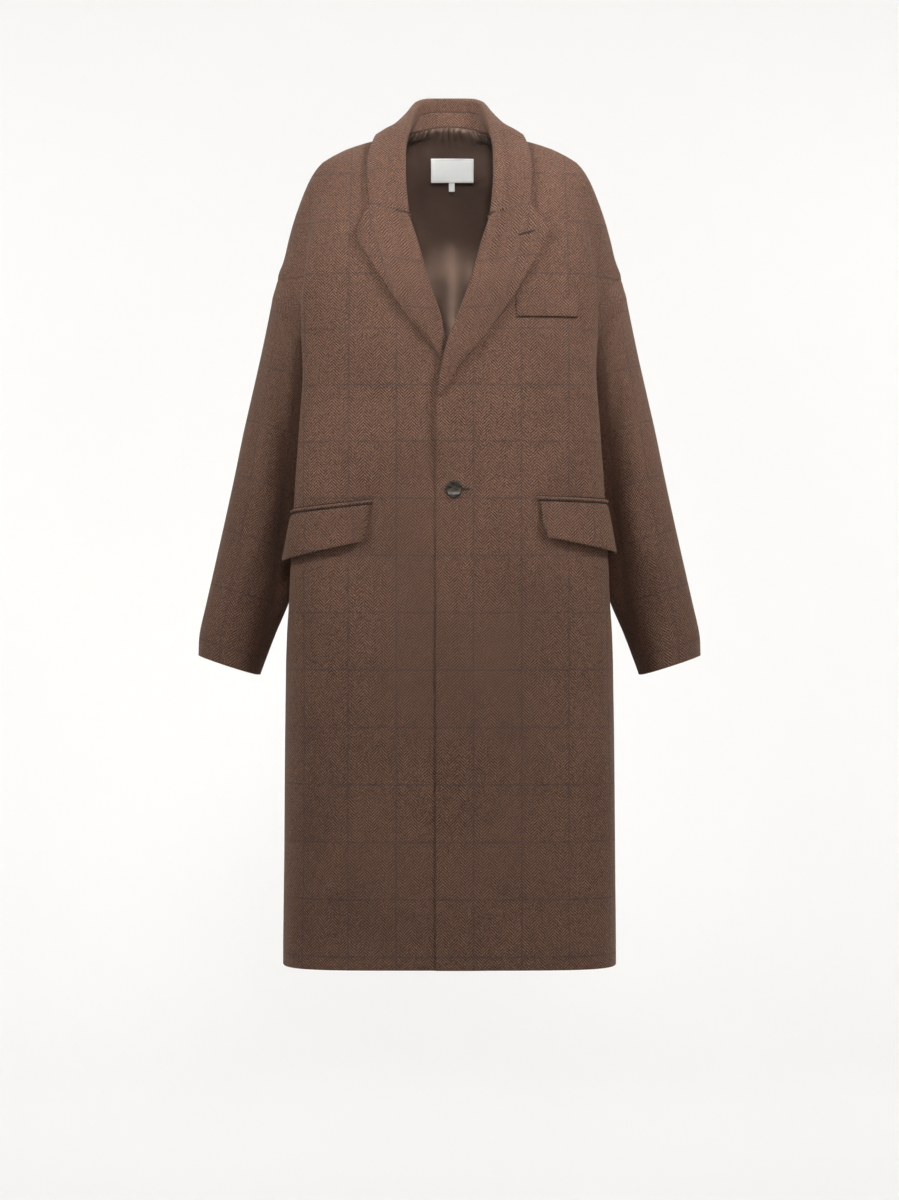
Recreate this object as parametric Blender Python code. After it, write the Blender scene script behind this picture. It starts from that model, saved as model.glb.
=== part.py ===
"""Cocoon coat with one button, filled out as if worn. Metres, +Z up, the front faces -Y.

The origin is where the shoulders hold the coat. +X is the wearer's left, whose front laps on top.
"""
import functools
import math

import bmesh
import bpy
from mathutils import Vector

NAME = "cocoon_coat"

# Cloth thicknesses and the gaps between pieces
CLOTH = 0.0020
DOUBLE = 0.0026
FINE = 0.0010
SEAM = 0.0004
ARM_SEAM = 0.0008
AIR = 0.0005

# Main heights
NECK_Z = 0.045
FRONT_TOP_Z = 0.040
GORGE_Z = -0.082
ARM_TOP_Z = -0.161
ARM_LOW_Z = -0.320
HEM_Z = -1.109

# Armhole, button and overlap
ARM_HALF_DEPTH = 0.070
LAP_FADE_FROM = 0.015
LAP_FADE_RUN = 0.060
BUTTON_X = 0.006
BUTTON_Z = -0.459
BUTTON_RADIUS = 0.0115
BUTTON_THICK = 0.0040

# Points in one row of each kind of piece
FRONT_COLUMNS = 17
BACK_COLUMNS = 14
SLEEVE_COLUMNS = 22
RING_STATIONS = 33
SECTION_SAMPLES = 260
TURN_WEIGHT = 0.03

COLOURS = {
    "tweed": ((0.150, 0.088, 0.062), 0.85),
    "satin": ((0.070, 0.042, 0.030), 0.40),
    "tape": ((0.820, 0.810, 0.790), 0.70),
    "horn": ((0.030, 0.020, 0.016), 0.25),
}


class Table:
    """Named columns against a rising key, read through a curve that never overshoots its rows."""

    def __init__(self, names, rows):
        self.names = names.split()
        self.rows = sorted(rows)
        self.keys = [row[0] for row in self.rows]

    def slope(self, column, k):
        """Slope of the curve at row k: the harmonic mean of its two chords, or none at a turn."""
        if k == 0 or k == len(self.rows) - 1:
            return 0.0
        chords = []
        for first in (k - 1, k):
            rise = self.rows[first + 1][column] - self.rows[first][column]
            chords.append(rise / (self.keys[first + 1] - self.keys[first]))
        if chords[0] * chords[1] <= 0.0:
            return 0.0
        return 2.0 * chords[0] * chords[1] / (chords[0] + chords[1])

    @functools.lru_cache(maxsize=None)
    def at(self, key, name):
        """Value of a named column at a key; past the ends it stays level."""
        column = self.names.index(name)
        if key <= self.keys[0]:
            return self.rows[0][column]
        if key >= self.keys[-1]:
            return self.rows[-1][column]
        k = max(i for i, start in enumerate(self.keys[:-1]) if start <= key)
        span = self.keys[k + 1] - self.keys[k]
        t = (key - self.keys[k]) / span
        low = self.rows[k][column]
        high = self.rows[k + 1][column]
        value = low + (high - low) * t * t * (3.0 - 2.0 * t)
        value += span * self.slope(column, k) * t * (1.0 - t) ** 2
        value -= span * self.slope(column, k + 1) * t * t * (1.0 - t)
        return value


# Sections of the body: half width of the box and at the side, depths, neck rise, squareness,
# reach of the side's swell and depth of the fold that drapes from the shoulder
BODY = Table("z box side front back rise square round reach fold", [
    (0.045, 0.068, 0.068, 0.003, 0.058, 0.0170, 2.0, 2.2, 0.045, 0.000),
    (0.031, 0.117, 0.117, 0.017, 0.070, 0.0150, 2.0, 2.2, 0.045, 0.000),
    (0.021, 0.146, 0.146, 0.025, 0.077, 0.0130, 2.0, 2.2, 0.045, 0.000),
    (0.010, 0.167, 0.167, 0.034, 0.084, 0.0105, 2.1, 2.2, 0.045, 0.000),
    (0.000, 0.181, 0.181, 0.042, 0.092, 0.0080, 2.2, 2.3, 0.045, 0.000),
    (-0.021, 0.191, 0.195, 0.056, 0.106, 0.0040, 2.5, 2.4, 0.045, 0.002),
    (-0.049, 0.196, 0.207, 0.069, 0.119, 0.0010, 3.0, 2.5, 0.045, 0.005),
    (-0.077, 0.199, 0.217, 0.081, 0.128, 0.0000, 3.6, 2.6, 0.045, 0.007),
    (-0.105, 0.202, 0.225, 0.091, 0.135, 0.0000, 4.2, 2.7, 0.045, 0.009),
    (-0.133, 0.205, 0.232, 0.099, 0.140, 0.0000, 4.8, 2.8, 0.045, 0.010),
    (-0.161, 0.208, 0.241, 0.105, 0.144, 0.0000, 5.2, 2.9, 0.045, 0.011),
    (-0.185, 0.211, 0.238, 0.110, 0.147, 0.0000, 5.3, 2.9, 0.046, 0.011),
    (-0.212, 0.213, 0.225, 0.114, 0.149, 0.0000, 5.4, 3.0, 0.050, 0.011),
    (-0.260, 0.216, 0.198, 0.120, 0.153, 0.0000, 5.4, 3.1, 0.075, 0.008),
    (-0.320, 0.219, 0.175, 0.126, 0.157, 0.0000, 5.4, 3.2, 0.082, 0.002),
    (-0.400, 0.222, 0.174, 0.132, 0.160, 0.0000, 5.2, 3.2, 0.080, 0.000),
    (-0.455, 0.224, 0.180, 0.136, 0.162, 0.0000, 5.0, 3.2, 0.078, 0.000),
    (-0.525, 0.226, 0.191, 0.139, 0.163, 0.0000, 4.8, 3.2, 0.075, 0.000),
    (-0.598, 0.227, 0.209, 0.142, 0.163, 0.0000, 4.4, 3.2, 0.070, 0.000),
    (-0.650, 0.2265, 0.2235, 0.144, 0.162, 0.0000, 4.4, 3.2, 0.070, 0.000),
    (-0.700, 0.2265, 0.2265, 0.145, 0.160, 0.0000, 4.4, 3.2, 0.070, 0.000),
    (-0.800, 0.2277, 0.2277, 0.147, 0.157, 0.0000, 4.5, 3.3, 0.070, 0.000),
    (-0.960, 0.2287, 0.2287, 0.148, 0.151, 0.0000, 4.7, 3.5, 0.070, 0.000),
    (-1.109, 0.2300, 0.2300, 0.147, 0.146, 0.0000, 5.0, 3.6, 0.070, 0.000),
])
SWELL_POWER = 2.0
PINCH_POWER = 4.0

# Heights of the rows of the body panels
SHOULDER_ROWS = (0.036, 0.031, 0.021, 0.010, 0.000, -0.021, -0.045, -0.072, -0.100, -0.130, -0.150)
LOWER_ROWS = (-0.350, -0.400, -0.455, -0.490, -0.525, -0.598, -0.650, -0.720, -0.850, -0.980, HEM_Z)

# Inner edge of the left front: neck seam, roll line of the lapel, then the straight front edge
FRONT_EDGE = Table("z x lap", [
    (0.045, 0.0680, 0.0),
    (0.020, 0.0695, 0.0),
    (0.000, 0.0695, 0.0),
    (-0.020, 0.0685, 0.0),
    (-0.040, 0.0660, 0.0),
    (-0.060, 0.0630, 0.0),
    (-0.082, 0.0590, 0.0),
    (-0.120, 0.0475, 0.0),
    (-0.180, 0.0305, 0.0015),
    (-0.240, 0.0080, 0.0058),
    (-0.278, -0.0055, 0.0058),
    (-0.313, -0.0130, 0.0058),
    (-0.342, -0.0180, 0.0050),
    (-0.420, -0.0185, 0.0028),
    (-1.109, -0.0185, 0.0028),
])

# Sleeve rings below the armhole: outer and inner points of each ring and its half depth
SLEEVE = Table("t outer_x outer_z inner_x inner_z depth shift egg", [
    (0.05, 0.2460, -0.182, 0.1770, -0.336, 0.0725, 0.000, 0.25),
    (0.15, 0.2560, -0.232, 0.1790, -0.366, 0.0715, 0.000, 0.22),
    (0.27, 0.2680, -0.288, 0.1820, -0.402, 0.0690, 0.000, 0.18),
    (0.42, 0.2850, -0.362, 0.1880, -0.455, 0.0650, -0.002, 0.12),
    (0.60, 0.3030, -0.450, 0.1990, -0.525, 0.0610, -0.005, 0.06),
    (0.77, 0.3220, -0.537, 0.2170, -0.598, 0.0570, -0.008, 0.00),
    (0.89, 0.3390, -0.613, 0.2390, -0.658, 0.0530, -0.011, 0.00),
    (0.95, 0.3485, -0.656, 0.2500, -0.688, 0.0515, -0.012, 0.00),
    (1.00, 0.3500, -0.686, 0.2600, -0.715, 0.0500, -0.013, 0.00),
])
SLEEVE_ROWS = (0.05, 0.10, 0.16, 0.24, 0.34, 0.45, 0.57, 0.69, 0.80, 0.89, 0.95, 1.00)
SLEEVE_SQUARE = 2.2
SLEEVE_TWIST = 0.3

# Collar from the centre back (0) to the gorge (1): top of the fold, row and x of the fall's outer
# edge on the body, lean of the fold from straight up to the front's own normal, drop inside to the
# stand's seam, and the place on the neck seam (0 to 1 round the back neck, 1 to 2 down the front)
COLLAR = Table("t fold_x fold_y fold_z edge_x edge_row lean drop neck", [
    (0.00, 0.0000, 0.0660, 0.1050, 0.0000, 0.0210, 0.00, 0.0140, 0.00),
    (0.13, 0.0260, 0.0640, 0.1045, 0.0390, 0.0215, 0.00, 0.0140, 0.22),
    (0.25, 0.0425, 0.0550, 0.0995, 0.0670, 0.0245, 0.00, 0.0135, 0.45),
    (0.36, 0.0510, 0.0360, 0.0860, 0.0840, 0.0295, 0.06, 0.0125, 0.68),
    (0.46, 0.0560, 0.0130, 0.0680, 0.0950, 0.0348, 0.20, 0.0070, 0.90),
    (0.50, 0.0580, 0.0045, 0.0600, 0.0990, 0.0358, 0.28, 0.0050, 0.98),
    (0.58, 0.0620, -0.0140, 0.0420, 0.1065, 0.0235, 0.45, 0.0020, 1.12),
    (0.70, 0.0650, -0.0385, 0.0130, 0.1120, -0.0020, 0.68, 0.0010, 1.32),
    (0.82, 0.0650, -0.0610, -0.0220, 0.1130, -0.0270, 0.86, 0.0010, 1.56),
    (0.92, 0.0625, -0.0780, -0.0550, 0.1115, -0.0500, 0.95, 0.0010, 1.80),
    (1.00, 0.0590, -0.0900, -0.0816, 0.1090, -0.0676, 1.00, 0.0015, 2.00),
])
SHOULDER_STATION = 0.50
GORGE_BLEND = 0.80
STAND_END = 0.44

# Turned edge of collar and lapel across the fold: distance past the fold and lift above the cloth,
# as a soft roll and as the flat end of a lapel
ROLL = (
    (-0.0042, -0.0015, 0.0006, 0.0034),
    (-0.0048, 0.0015, 0.0026, 0.0034),
    (-0.0034, 0.0048, 0.0046, 0.0034),
    (0.0000, 0.0066, 0.0066, 0.0034),
    (0.0050, 0.0068, 0.0090, 0.0034),
    (0.0110, 0.0052, 0.0130, 0.0034),
)
ROLL_TOP = 0.0066
ROLL_WIDTH = 0.026
FALL_STEPS = (0.25, 0.5, 0.75, 1.0)
FALL_BELLY = 0.0040
HALF_ROLL_LIFT = 0.0020
COLLAR_AIR = 0.0018

# Lapels from the gorge down: height on the roll line, how far the lapel starts inside that line,
# its outer edge, and how much of the roll is left
LAPEL_LEFT = Table("t roll_z inset edge_x edge_z roll", [
    (0.00, -0.0824, 0.0, 0.1090, -0.0684, 1.0),
    (0.08, -0.0950, 0.0, 0.1230, -0.0870, 1.0),
    (0.16, -0.1080, 0.0, 0.1345, -0.1030, 1.0),
    (0.23, -0.1220, 0.0, 0.1330, -0.1130, 1.0),
    (0.32, -0.1450, 0.0, 0.1216, -0.1370, 1.0),
    (0.42, -0.1700, 0.0, 0.1065, -0.1630, 1.0),
    (0.53, -0.2000, 0.0, 0.0855, -0.1980, 1.0),
    (0.65, -0.2350, 0.0, 0.0620, -0.2310, 1.0),
    (0.76, -0.2650, 0.0, 0.0395, -0.2610, 0.9),
    (0.86, -0.2900, 0.0, 0.0200, -0.2840, 0.6),
    (0.94, -0.3140, 0.0, 0.0030, -0.3080, 0.3),
    (1.00, -0.3320, 0.0, -0.0070, -0.3290, 0.0),
])
LAPEL_RIGHT = Table("t roll_z inset edge_x edge_z roll", [
    (0.00, -0.0824, 0.0, 0.1085, -0.0684, 1.0),
    (0.08, -0.0950, 0.0, 0.1185, -0.0880, 1.0),
    (0.16, -0.1080, 0.0, 0.1265, -0.1060, 1.0),
    (0.23, -0.1220, 0.0, 0.1250, -0.1170, 1.0),
    (0.32, -0.1450, 0.0, 0.1130, -0.1390, 1.0),
    (0.42, -0.1700, 0.0, 0.0970, -0.1640, 1.0),
    (0.53, -0.2000, 0.0, 0.0765, -0.1970, 1.0),
    (0.65, -0.2240, 0.000, 0.0590, -0.2210, 0.8),
    (0.76, -0.2420, 0.003, 0.0450, -0.2400, 0.4),
    (0.86, -0.2560, 0.008, 0.0330, -0.2545, 0.1),
    (0.94, -0.2680, 0.012, 0.0230, -0.2670, 0.0),
    (1.00, -0.2780, 0.017, 0.0145, -0.2770, 0.0),
])
LAPEL_ROWS = (0.0, 0.08, 0.16, 0.20, 0.26, 0.34, 0.44, 0.54, 0.65, 0.76, 0.86, 0.94, 1.0)

# Hip pockets: side, x of the inner end, width round the body, heights of top and bottom at each end
POCKETS = (
    ("left", 0.1217, 0.140, -0.4740, -0.4790, -0.5240, -0.5500),
    ("right", 0.1075, 0.150, -0.4790, -0.4950, -0.5300, -0.5600),
)
FLAP_SLANT = 0.009
FLAP_CORNER = 0.010
PATCH_STEPS = (0.0, 0.02, 0.07, 0.2, 0.35, 0.48, 0.58, 0.67, 0.76, 0.85, 0.93, 0.98, 1.0)
FLAP_FLARE = 0.0040
FLAP_AIR = 0.0009
JET_AIR = 0.0015
JET_HEIGHT = 0.0055
JET_SPARE = 0.003

# Breast welt on the left front: inner end, width round the body, top and bottom
WELT_X = 0.0910
WELT_WIDTH = 0.083
WELT_TOP_Z = -0.195
WELT_LOW_Z = -0.2235

# Lining inside the back, the label on it and the tab under the label
LINING_LOW_Z = -0.455
LINING_SIDE = 2
LABEL_AIR = 0.0009
LABEL_ROWS = (0.0130, 0.0050, -0.0030, -0.0105)
LABEL_X = (-0.027, 0.035)
TAB_ROWS = (-0.0112, -0.0165, -0.0215)
TAB_X = (-0.001, 0.0075)


def ease(value):
    """Smooth step from 0 to 1."""
    value = min(max(value, 0.0), 1.0)
    return value * value * (3.0 - 2.0 * value)


def signed_power(value, power):
    """Power of a value that keeps its sign."""
    return math.copysign(abs(value) ** power, value)


def spread(start, end, count):
    """Evenly spread values, both ends included."""
    return [start + (end - start) * k / (count - 1) for k in range(count)]


@functools.lru_cache(maxsize=None)
def half_section(z, face):
    """Half a section from the centre line to the side: rows of distance, x and depth."""
    box = BODY.at(z, "box")
    depth = BODY.at(z, "front" if face < 0 else "back")
    power = 2.0 / BODY.at(z, "square" if face < 0 else "round")
    swell = BODY.at(z, "side") - box
    reach = BODY.at(z, "reach")
    fold = BODY.at(z, "fold")
    fade = SWELL_POWER if swell > 0.0 else PINCH_POWER
    rows = []
    for k in range(SECTION_SAMPLES + 1):
        angle = 0.5 * math.pi * k / SECTION_SAMPLES
        x = box * math.sin(angle) ** power
        y = depth * max(math.cos(angle), 0.0) ** power
        side = (x / box) ** 2
        x += side * swell * math.exp(-((y / reach) ** fade))
        x -= side * fold * math.exp(-(((y - 0.62 * depth) / (0.16 * depth)) ** 2))
        step = math.hypot(x - rows[-1][1], y - rows[-1][2]) if rows else 0.0
        rows.append(((rows[-1][0] if rows else 0.0) + step, x, y))
    return rows


def half_length(z, face):
    """Length of half a section, from the centre line to the side."""
    return half_section(z, face)[-1][0]


def look_up(rows, column, value):
    """Distance along a section where a column reaches a value."""
    for first, last in zip(rows, rows[1:]):
        low = first[column] - value
        high = last[column] - value
        if low == 0.0 or low * high < 0.0:
            return first[0] + (last[0] - first[0]) * low / (low - high)
    return rows[-1][0]


def body_point(z, distance, side):
    """Point on the cloth at a distance round the section from the centre front."""
    front = half_length(z, -1)
    total = front + half_length(z, 1)
    if distance < 0.0 or distance > total:
        distance = abs(distance) if distance < 0.0 else 2.0 * total - distance
        side = -side
    face = -1 if distance <= front else 1
    distance = distance if face < 0 else total - distance
    rows = half_section(z, face)
    k = max(i for i in range(len(rows) - 1) if rows[i][0] <= distance)
    t = (distance - rows[k][0]) / (rows[k + 1][0] - rows[k][0])
    x = rows[k][1] + t * (rows[k + 1][1] - rows[k][1])
    y = rows[k][2] + t * (rows[k + 1][2] - rows[k][2])
    rise = 0.0
    if face > 0:
        rise = BODY.at(z, "rise") * (1.0 - min(x / BODY.at(z, "box"), 1.0) ** 2)
    return Vector((side * x, face * y, z + rise))


def body_normal(z, distance, side):
    """Outward normal of the cloth at a distance round the section from the centre front."""
    step = 0.002
    high = min(z + step, NECK_Z)
    across = body_point(z, distance + step, side) - body_point(z, distance - step, side)
    up = body_point(high, distance, side) - body_point(z - step, distance, side)
    return across.cross(up).normalized() * side


def at_x(z, x, face=-1):
    """Distance from the centre front to an x on the front or the back."""
    if face > 0:
        return half_length(z, -1) + half_length(z, 1) - look_up(half_section(z, 1), 1, abs(x))
    return math.copysign(look_up(half_section(z, -1), 1, abs(x)), x)


def at_depth(z, depth, face):
    """Distance from the centre front to a depth on the front or the back near the side."""
    if face > 0:
        return half_length(z, -1) + half_length(z, 1) - look_up(half_section(z, 1), 2, depth)
    return look_up(half_section(z, -1), 2, depth)


def lap_lift(x, z):
    """How far the left front stands off the right one at a place on the overlap."""
    return FRONT_EDGE.at(z, "lap") * (1.0 - ease((x - LAP_FADE_FROM) / LAP_FADE_RUN))


def on_body(z, distance, side, lift=0.0):
    """Point and normal on the cloth, moved out by a lift; the left front stands off at the lap."""
    point = body_point(z, distance, side)
    normal = body_normal(z, distance, side)
    if side > 0 and point.y < 0.0:
        point.y -= lap_lift(point.x, z)
    return point + normal * lift, normal


def seam_depth(z):
    """Depth at which the body panels end: at the armhole, or at the shoulder and side seams."""
    middle = 0.5 * (ARM_TOP_Z + ARM_LOW_Z)
    half = 0.5 * (ARM_TOP_Z - ARM_LOW_Z)
    inside = 1.0 - ((z - middle) / half) ** 2
    return ARM_HALF_DEPTH * math.sqrt(max(inside, 0.0)) + 0.5 * SEAM


def spread_turns(z, start, end, side, count):
    """Distances from start to end, closer together where the section turns."""
    fine = spread(start, end, 120)
    points = [body_point(z, d, side) for d in fine]
    weights = [0.0, (points[1] - points[0]).length]
    for first, middle, last in zip(points, points[1:], points[2:]):
        turn = (middle - first).angle(last - middle, 0.0)
        weights.append(weights[-1] + (last - middle).length + TURN_WEIGHT * turn)
    chosen = []
    for want in spread(0.0, weights[-1], count):
        k = max(i for i in range(len(fine) - 1) if weights[i] <= want)
        t = (want - weights[k]) / (weights[k + 1] - weights[k])
        chosen.append(fine[k] + min(t, 1.0) * (fine[k + 1] - fine[k]))
    return chosen


def material(name):
    """Principled material of a named colour."""
    made = bpy.data.materials.get(name) or bpy.data.materials.new(name)
    made.use_nodes = True
    shader = made.node_tree.nodes["Principled BSDF"]
    colour, roughness = COLOURS[name]
    shader.inputs["Base Color"].default_value = (*colour, 1.0)
    shader.inputs["Roughness"].default_value = roughness
    return made


def add_object(name, bm, finish, collection):
    """Object of a closed mesh with its material."""
    bmesh.ops.recalc_face_normals(bm, faces=bm.faces)
    mesh = bpy.data.meshes.new(name)
    bm.to_mesh(mesh)
    bm.free()
    made = bpy.data.objects.new(name, mesh)
    made.data.materials.append(material(finish))
    collection.objects.link(made)
    return made


def wall(name, rows, thick, finish, collection, closed=False):
    """Cloth wall lofted through rows of outer-face points, each thickened against its normal."""
    bm = bmesh.new()
    outer = [[bm.verts.new(point) for point, _ in row] for row in rows]
    inner = [[bm.verts.new(point - normal * thick) for point, normal in row] for row in rows]
    columns = len(rows[0])
    pairs = [(c, c + 1) for c in range(columns - 1)]
    if closed:
        pairs.append((columns - 1, 0))
    for r in range(len(rows) - 1):
        for c, d in pairs:
            bm.faces.new((outer[r][c], outer[r][d], outer[r + 1][d], outer[r + 1][c]))
            bm.faces.new((inner[r][c], inner[r + 1][c], inner[r + 1][d], inner[r][d]))
        for c in () if closed else (0, -1):
            bm.faces.new((outer[r][c], outer[r + 1][c], inner[r + 1][c], inner[r][c]))
    for r in (0, -1):
        for c, d in pairs:
            bm.faces.new((outer[r][c], outer[r][d], inner[r][d], inner[r][c]))
    return add_object(name, bm, finish, collection)


def arm_heights():
    """Heights of the body rows beside the armhole, level with the points of the sleeve's top ring."""
    steps = SLEEVE_COLUMNS // 2
    middle = 0.5 * (ARM_TOP_Z + ARM_LOW_Z)
    half = 0.5 * (ARM_TOP_Z - ARM_LOW_Z)
    return tuple(middle + half * math.cos(math.pi * k / steps) for k in range(steps + 1))


def front_rows(side):
    """Rows of a front panel from the shoulder to the hem."""
    rows = []
    for z in (FRONT_TOP_Z,) + SHOULDER_ROWS + arm_heights() + LOWER_ROWS:
        start = at_x(z, FRONT_EDGE.at(z, "x"))
        end = at_depth(z, seam_depth(z), -1)
        rows.append([on_body(z, d, side) for d in spread_turns(z, start, end, side, FRONT_COLUMNS)])
    return rows


def back_rows():
    """Rows of the back from the neck seam to the hem, from the right seam to the left one."""
    rows = []
    for z in (NECK_Z,) + SHOULDER_ROWS + arm_heights() + LOWER_ROWS:
        start = at_depth(z, seam_depth(z), 1)
        end = half_length(z, -1) + half_length(z, 1)
        places = spread_turns(z, start, end, 1, BACK_COLUMNS)
        row = [on_body(z, d, -1) for d in places]
        row += [on_body(z, d, 1) for d in reversed(places[:-1])]
        rows.append(row)
    return rows


def lining_rows():
    """Rows of the lining: the back's own points moved in, down to where the neck shows it."""
    rows = []
    for row in back_rows():
        if row[0][0].z >= LINING_LOW_Z:
            kept = row[LINING_SIDE:-LINING_SIDE]
            rows.append([(point - normal * (CLOTH + AIR), normal) for point, normal in kept])
    return rows


def sleeve_rows(side):
    """Rings of a sleeve from the armhole to the cuff."""
    angles = spread(0.0, 2.0 * math.pi, SLEEVE_COLUMNS + 1)[:-1]
    middle = 0.5 * (ARM_TOP_Z + ARM_LOW_Z)
    half = 0.5 * (ARM_TOP_Z - ARM_LOW_Z) - ARM_SEAM
    rings = [[]]
    for angle in angles:
        z = middle + half * math.cos(angle)
        depth = (ARM_HALF_DEPTH - ARM_SEAM) * math.sin(angle)
        place = at_depth(z, abs(depth), -1 if depth > 0.0 else 1)
        point = body_point(z, place, side)
        lift = 0.5 * ARM_SEAM * (1.0 - math.cos(angle))
        rings[0].append(point + body_normal(z, place, side) * lift)
    for t in SLEEVE_ROWS:
        outer = Vector((SLEEVE.at(t, "outer_x"), SLEEVE.at(t, "outer_z")))
        inner = Vector((SLEEVE.at(t, "inner_x"), SLEEVE.at(t, "inner_z")))
        ring = []
        for angle in angles:
            angle -= SLEEVE_TWIST * math.sin(angle)
            across = signed_power(math.cos(angle), 2.0 / SLEEVE_SQUARE)
            flat = (outer + inner) / 2.0 + (outer - inner) / 2.0 * across
            deep = SLEEVE.at(t, "depth") * signed_power(math.sin(angle), 2.0 / SLEEVE_SQUARE)
            deep *= 1.0 - SLEEVE.at(t, "egg") * max(-across, 0.0)
            ring.append(Vector((side * flat.x, SLEEVE.at(t, "shift") - deep, flat.y)))
        rings.append(ring)
    rows = []
    for r, ring in enumerate(rings):
        above = rings[max(r - 1, 0)]
        below = rings[min(r + 1, len(rings) - 1)]
        row = []
        for c, point in enumerate(ring):
            across = ring[(c + 1) % len(ring)] - ring[c - 1]
            row.append((point, across.cross(below[c] - above[c]).normalized() * side))
        rows.append(row)
    return rows


def turned_row(base, edge, up, roll=1.0, drop=None):
    """Points across a turned-over edge: up inside, over the fold and down to the outer edge."""
    out = (edge - base) - up * (edge - base).dot(up)
    width = out.length
    out.normalize()
    scale = min(1.0, width / ROLL_WIDTH)
    path = []
    for past, lift, flat_past, flat_lift in ROLL:
        past = past if past < 0.0 else past * scale
        along = past * roll + flat_past * scale * (1.0 - roll)
        raised = lift * roll + flat_lift * (1.0 - roll)
        path.append((along, raised + HALF_ROLL_LIFT * 4.0 * roll * (1.0 - roll)))
    if drop is not None:
        path[0] = (ROLL[0][0], -drop)
    start = path[-1]
    end = (width, (edge - base).dot(up))
    for t in FALL_STEPS:
        along = start[0] + (end[0] - start[0]) * t
        lift = start[1] + (end[1] - start[1]) * t
        path.append((along, lift + FALL_BELLY * 4.0 * t * (1.0 - t) * scale))
    row = []
    for k, (along, lift) in enumerate(path):
        before = path[max(k - 1, 0)]
        after = path[min(k + 1, len(path) - 1)]
        turn = out * (before[1] - after[1]) + up * (after[0] - before[0])
        normal = (turn.normalized() * roll + up * (1.0 - roll)).normalized()
        row.append((base + out * along + up * lift, normal))
    return row


def mirrored(row, side):
    """Row of points and normals on the given side."""
    flip = Vector((side, 1.0, 1.0))
    return [(point * flip, normal * flip) for point, normal in row]


def gorge_parts():
    """Base, outer edge and normal of the turned cloth at the gorge, on the left."""
    base, up = on_body(GORGE_Z, at_x(GORGE_Z, FRONT_EDGE.at(GORGE_Z, "x")), 1)
    edge_z = COLLAR.at(1.0, "edge_row")
    edge, _ = on_body(edge_z, at_x(edge_z, COLLAR.at(1.0, "edge_x")), 1, DOUBLE + AIR)
    return base, edge, up


def collar_row(t):
    """Points across the collar at a station from the centre back to the left gorge."""
    base_end, edge_end, up_end = gorge_parts()
    fold = Vector([COLLAR.at(t, "fold_" + axis) for axis in "xyz"])
    up = Vector((0.0, 0.0, 1.0)).lerp(up_end, COLLAR.at(t, "lean")).normalized()
    row_z = COLLAR.at(t, "edge_row")
    face = 1 if t < SHOULDER_STATION else -1
    edge, _ = on_body(row_z, at_x(row_z, COLLAR.at(t, "edge_x"), face), 1, DOUBLE + COLLAR_AIR)
    blend = ease((t - GORGE_BLEND) / (1.0 - GORGE_BLEND))
    base = (fold - up * ROLL_TOP).lerp(base_end, blend)
    edge = edge.lerp(edge_end, blend)
    up = up.lerp(up_end, blend).normalized()
    return turned_row(base, edge, up, drop=COLLAR.at(t, "drop"))


def neck_point(place):
    """Point on the neck seam: 0 to 1 round the back neck, 1 to 2 down the front."""
    if place <= 1.0:
        total = half_length(NECK_Z, -1) + half_length(NECK_Z, 1)
        return body_point(NECK_Z, total - place * half_length(NECK_Z, 1), 1)
    z = NECK_Z + (GORGE_Z - NECK_Z) * (place - 1.0)
    return body_point(z, at_x(z, FRONT_EDGE.at(z, "x")), 1)


def stand_row(t):
    """Points up the collar stand from the neck seam to the seam under the fold."""
    (top, normal), (over, _) = collar_row(t)[:2]
    high = top + (top - over).normalized() * SEAM
    low = neck_point(COLLAR.at(t, "neck")) + normal * (CLOTH + SEAM)
    return [(low.lerp(high, k), normal) for k in (0.0, 0.5, 1.0)]


def ring_rows(make, reach):
    """Rows of a ring from the right end round the back to the left end."""
    return [mirrored(make(abs(t)), -1.0 if t < 0.0 else 1.0)
            for t in spread(-reach, reach, RING_STATIONS)]


def lapel_rows(table, side):
    """Rows of a lapel from the gorge to its tip."""
    rows = []
    for t in LAPEL_ROWS:
        z = table.at(t, "roll_z")
        base, up = on_body(z, at_x(z, FRONT_EDGE.at(z, "x")) + table.at(t, "inset"), side)
        edge_z = table.at(t, "edge_z")
        edge, _ = on_body(edge_z, at_x(edge_z, table.at(t, "edge_x")), side, DOUBLE + AIR)
        rows.append(turned_row(base, edge, up, roll=table.at(t, "roll")))
    return rows


def patch_rows(side, ends, heights, lift, flare=0.0, slant=0.0, corner=0.0):
    """Rows of a patch on a front, from its top edge down, with rounded lower corners."""
    rows = []
    for drop in (0.0, 0.25, 0.5, 0.75, 1.0) if flare else (0.0, 1.0):
        row = []
        for t in PATCH_STEPS:
            top = heights[0] + (heights[1] - heights[0]) * t
            low = heights[2] + (heights[3] - heights[2]) * t
            from_end = min(t, 1.0 - t) * (ends[1] - ends[0])
            if from_end < corner:
                low += corner - math.sqrt(corner ** 2 - (corner - from_end) ** 2)
            distance = ends[0] + (ends[1] - ends[0]) * t + slant * drop * (1.0 - t)
            row.append(on_body(top + (low - top) * drop, distance, side, lift + flare * drop * t))
        rows.append(row)
    return rows


def tape_rows(rows_z, x_ends):
    """Rows of a small patch on the lining inside the back, from its top edge down."""
    lift = -CLOTH - AIR - FINE - LABEL_AIR
    rows = []
    for z in rows_z:
        row = []
        for x in spread(x_ends[0], x_ends[1], 7):
            row.append(on_body(z, at_x(z, x, 1), 1 if x > 0.0 else -1, lift))
        rows.append(row)
    return rows


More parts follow.
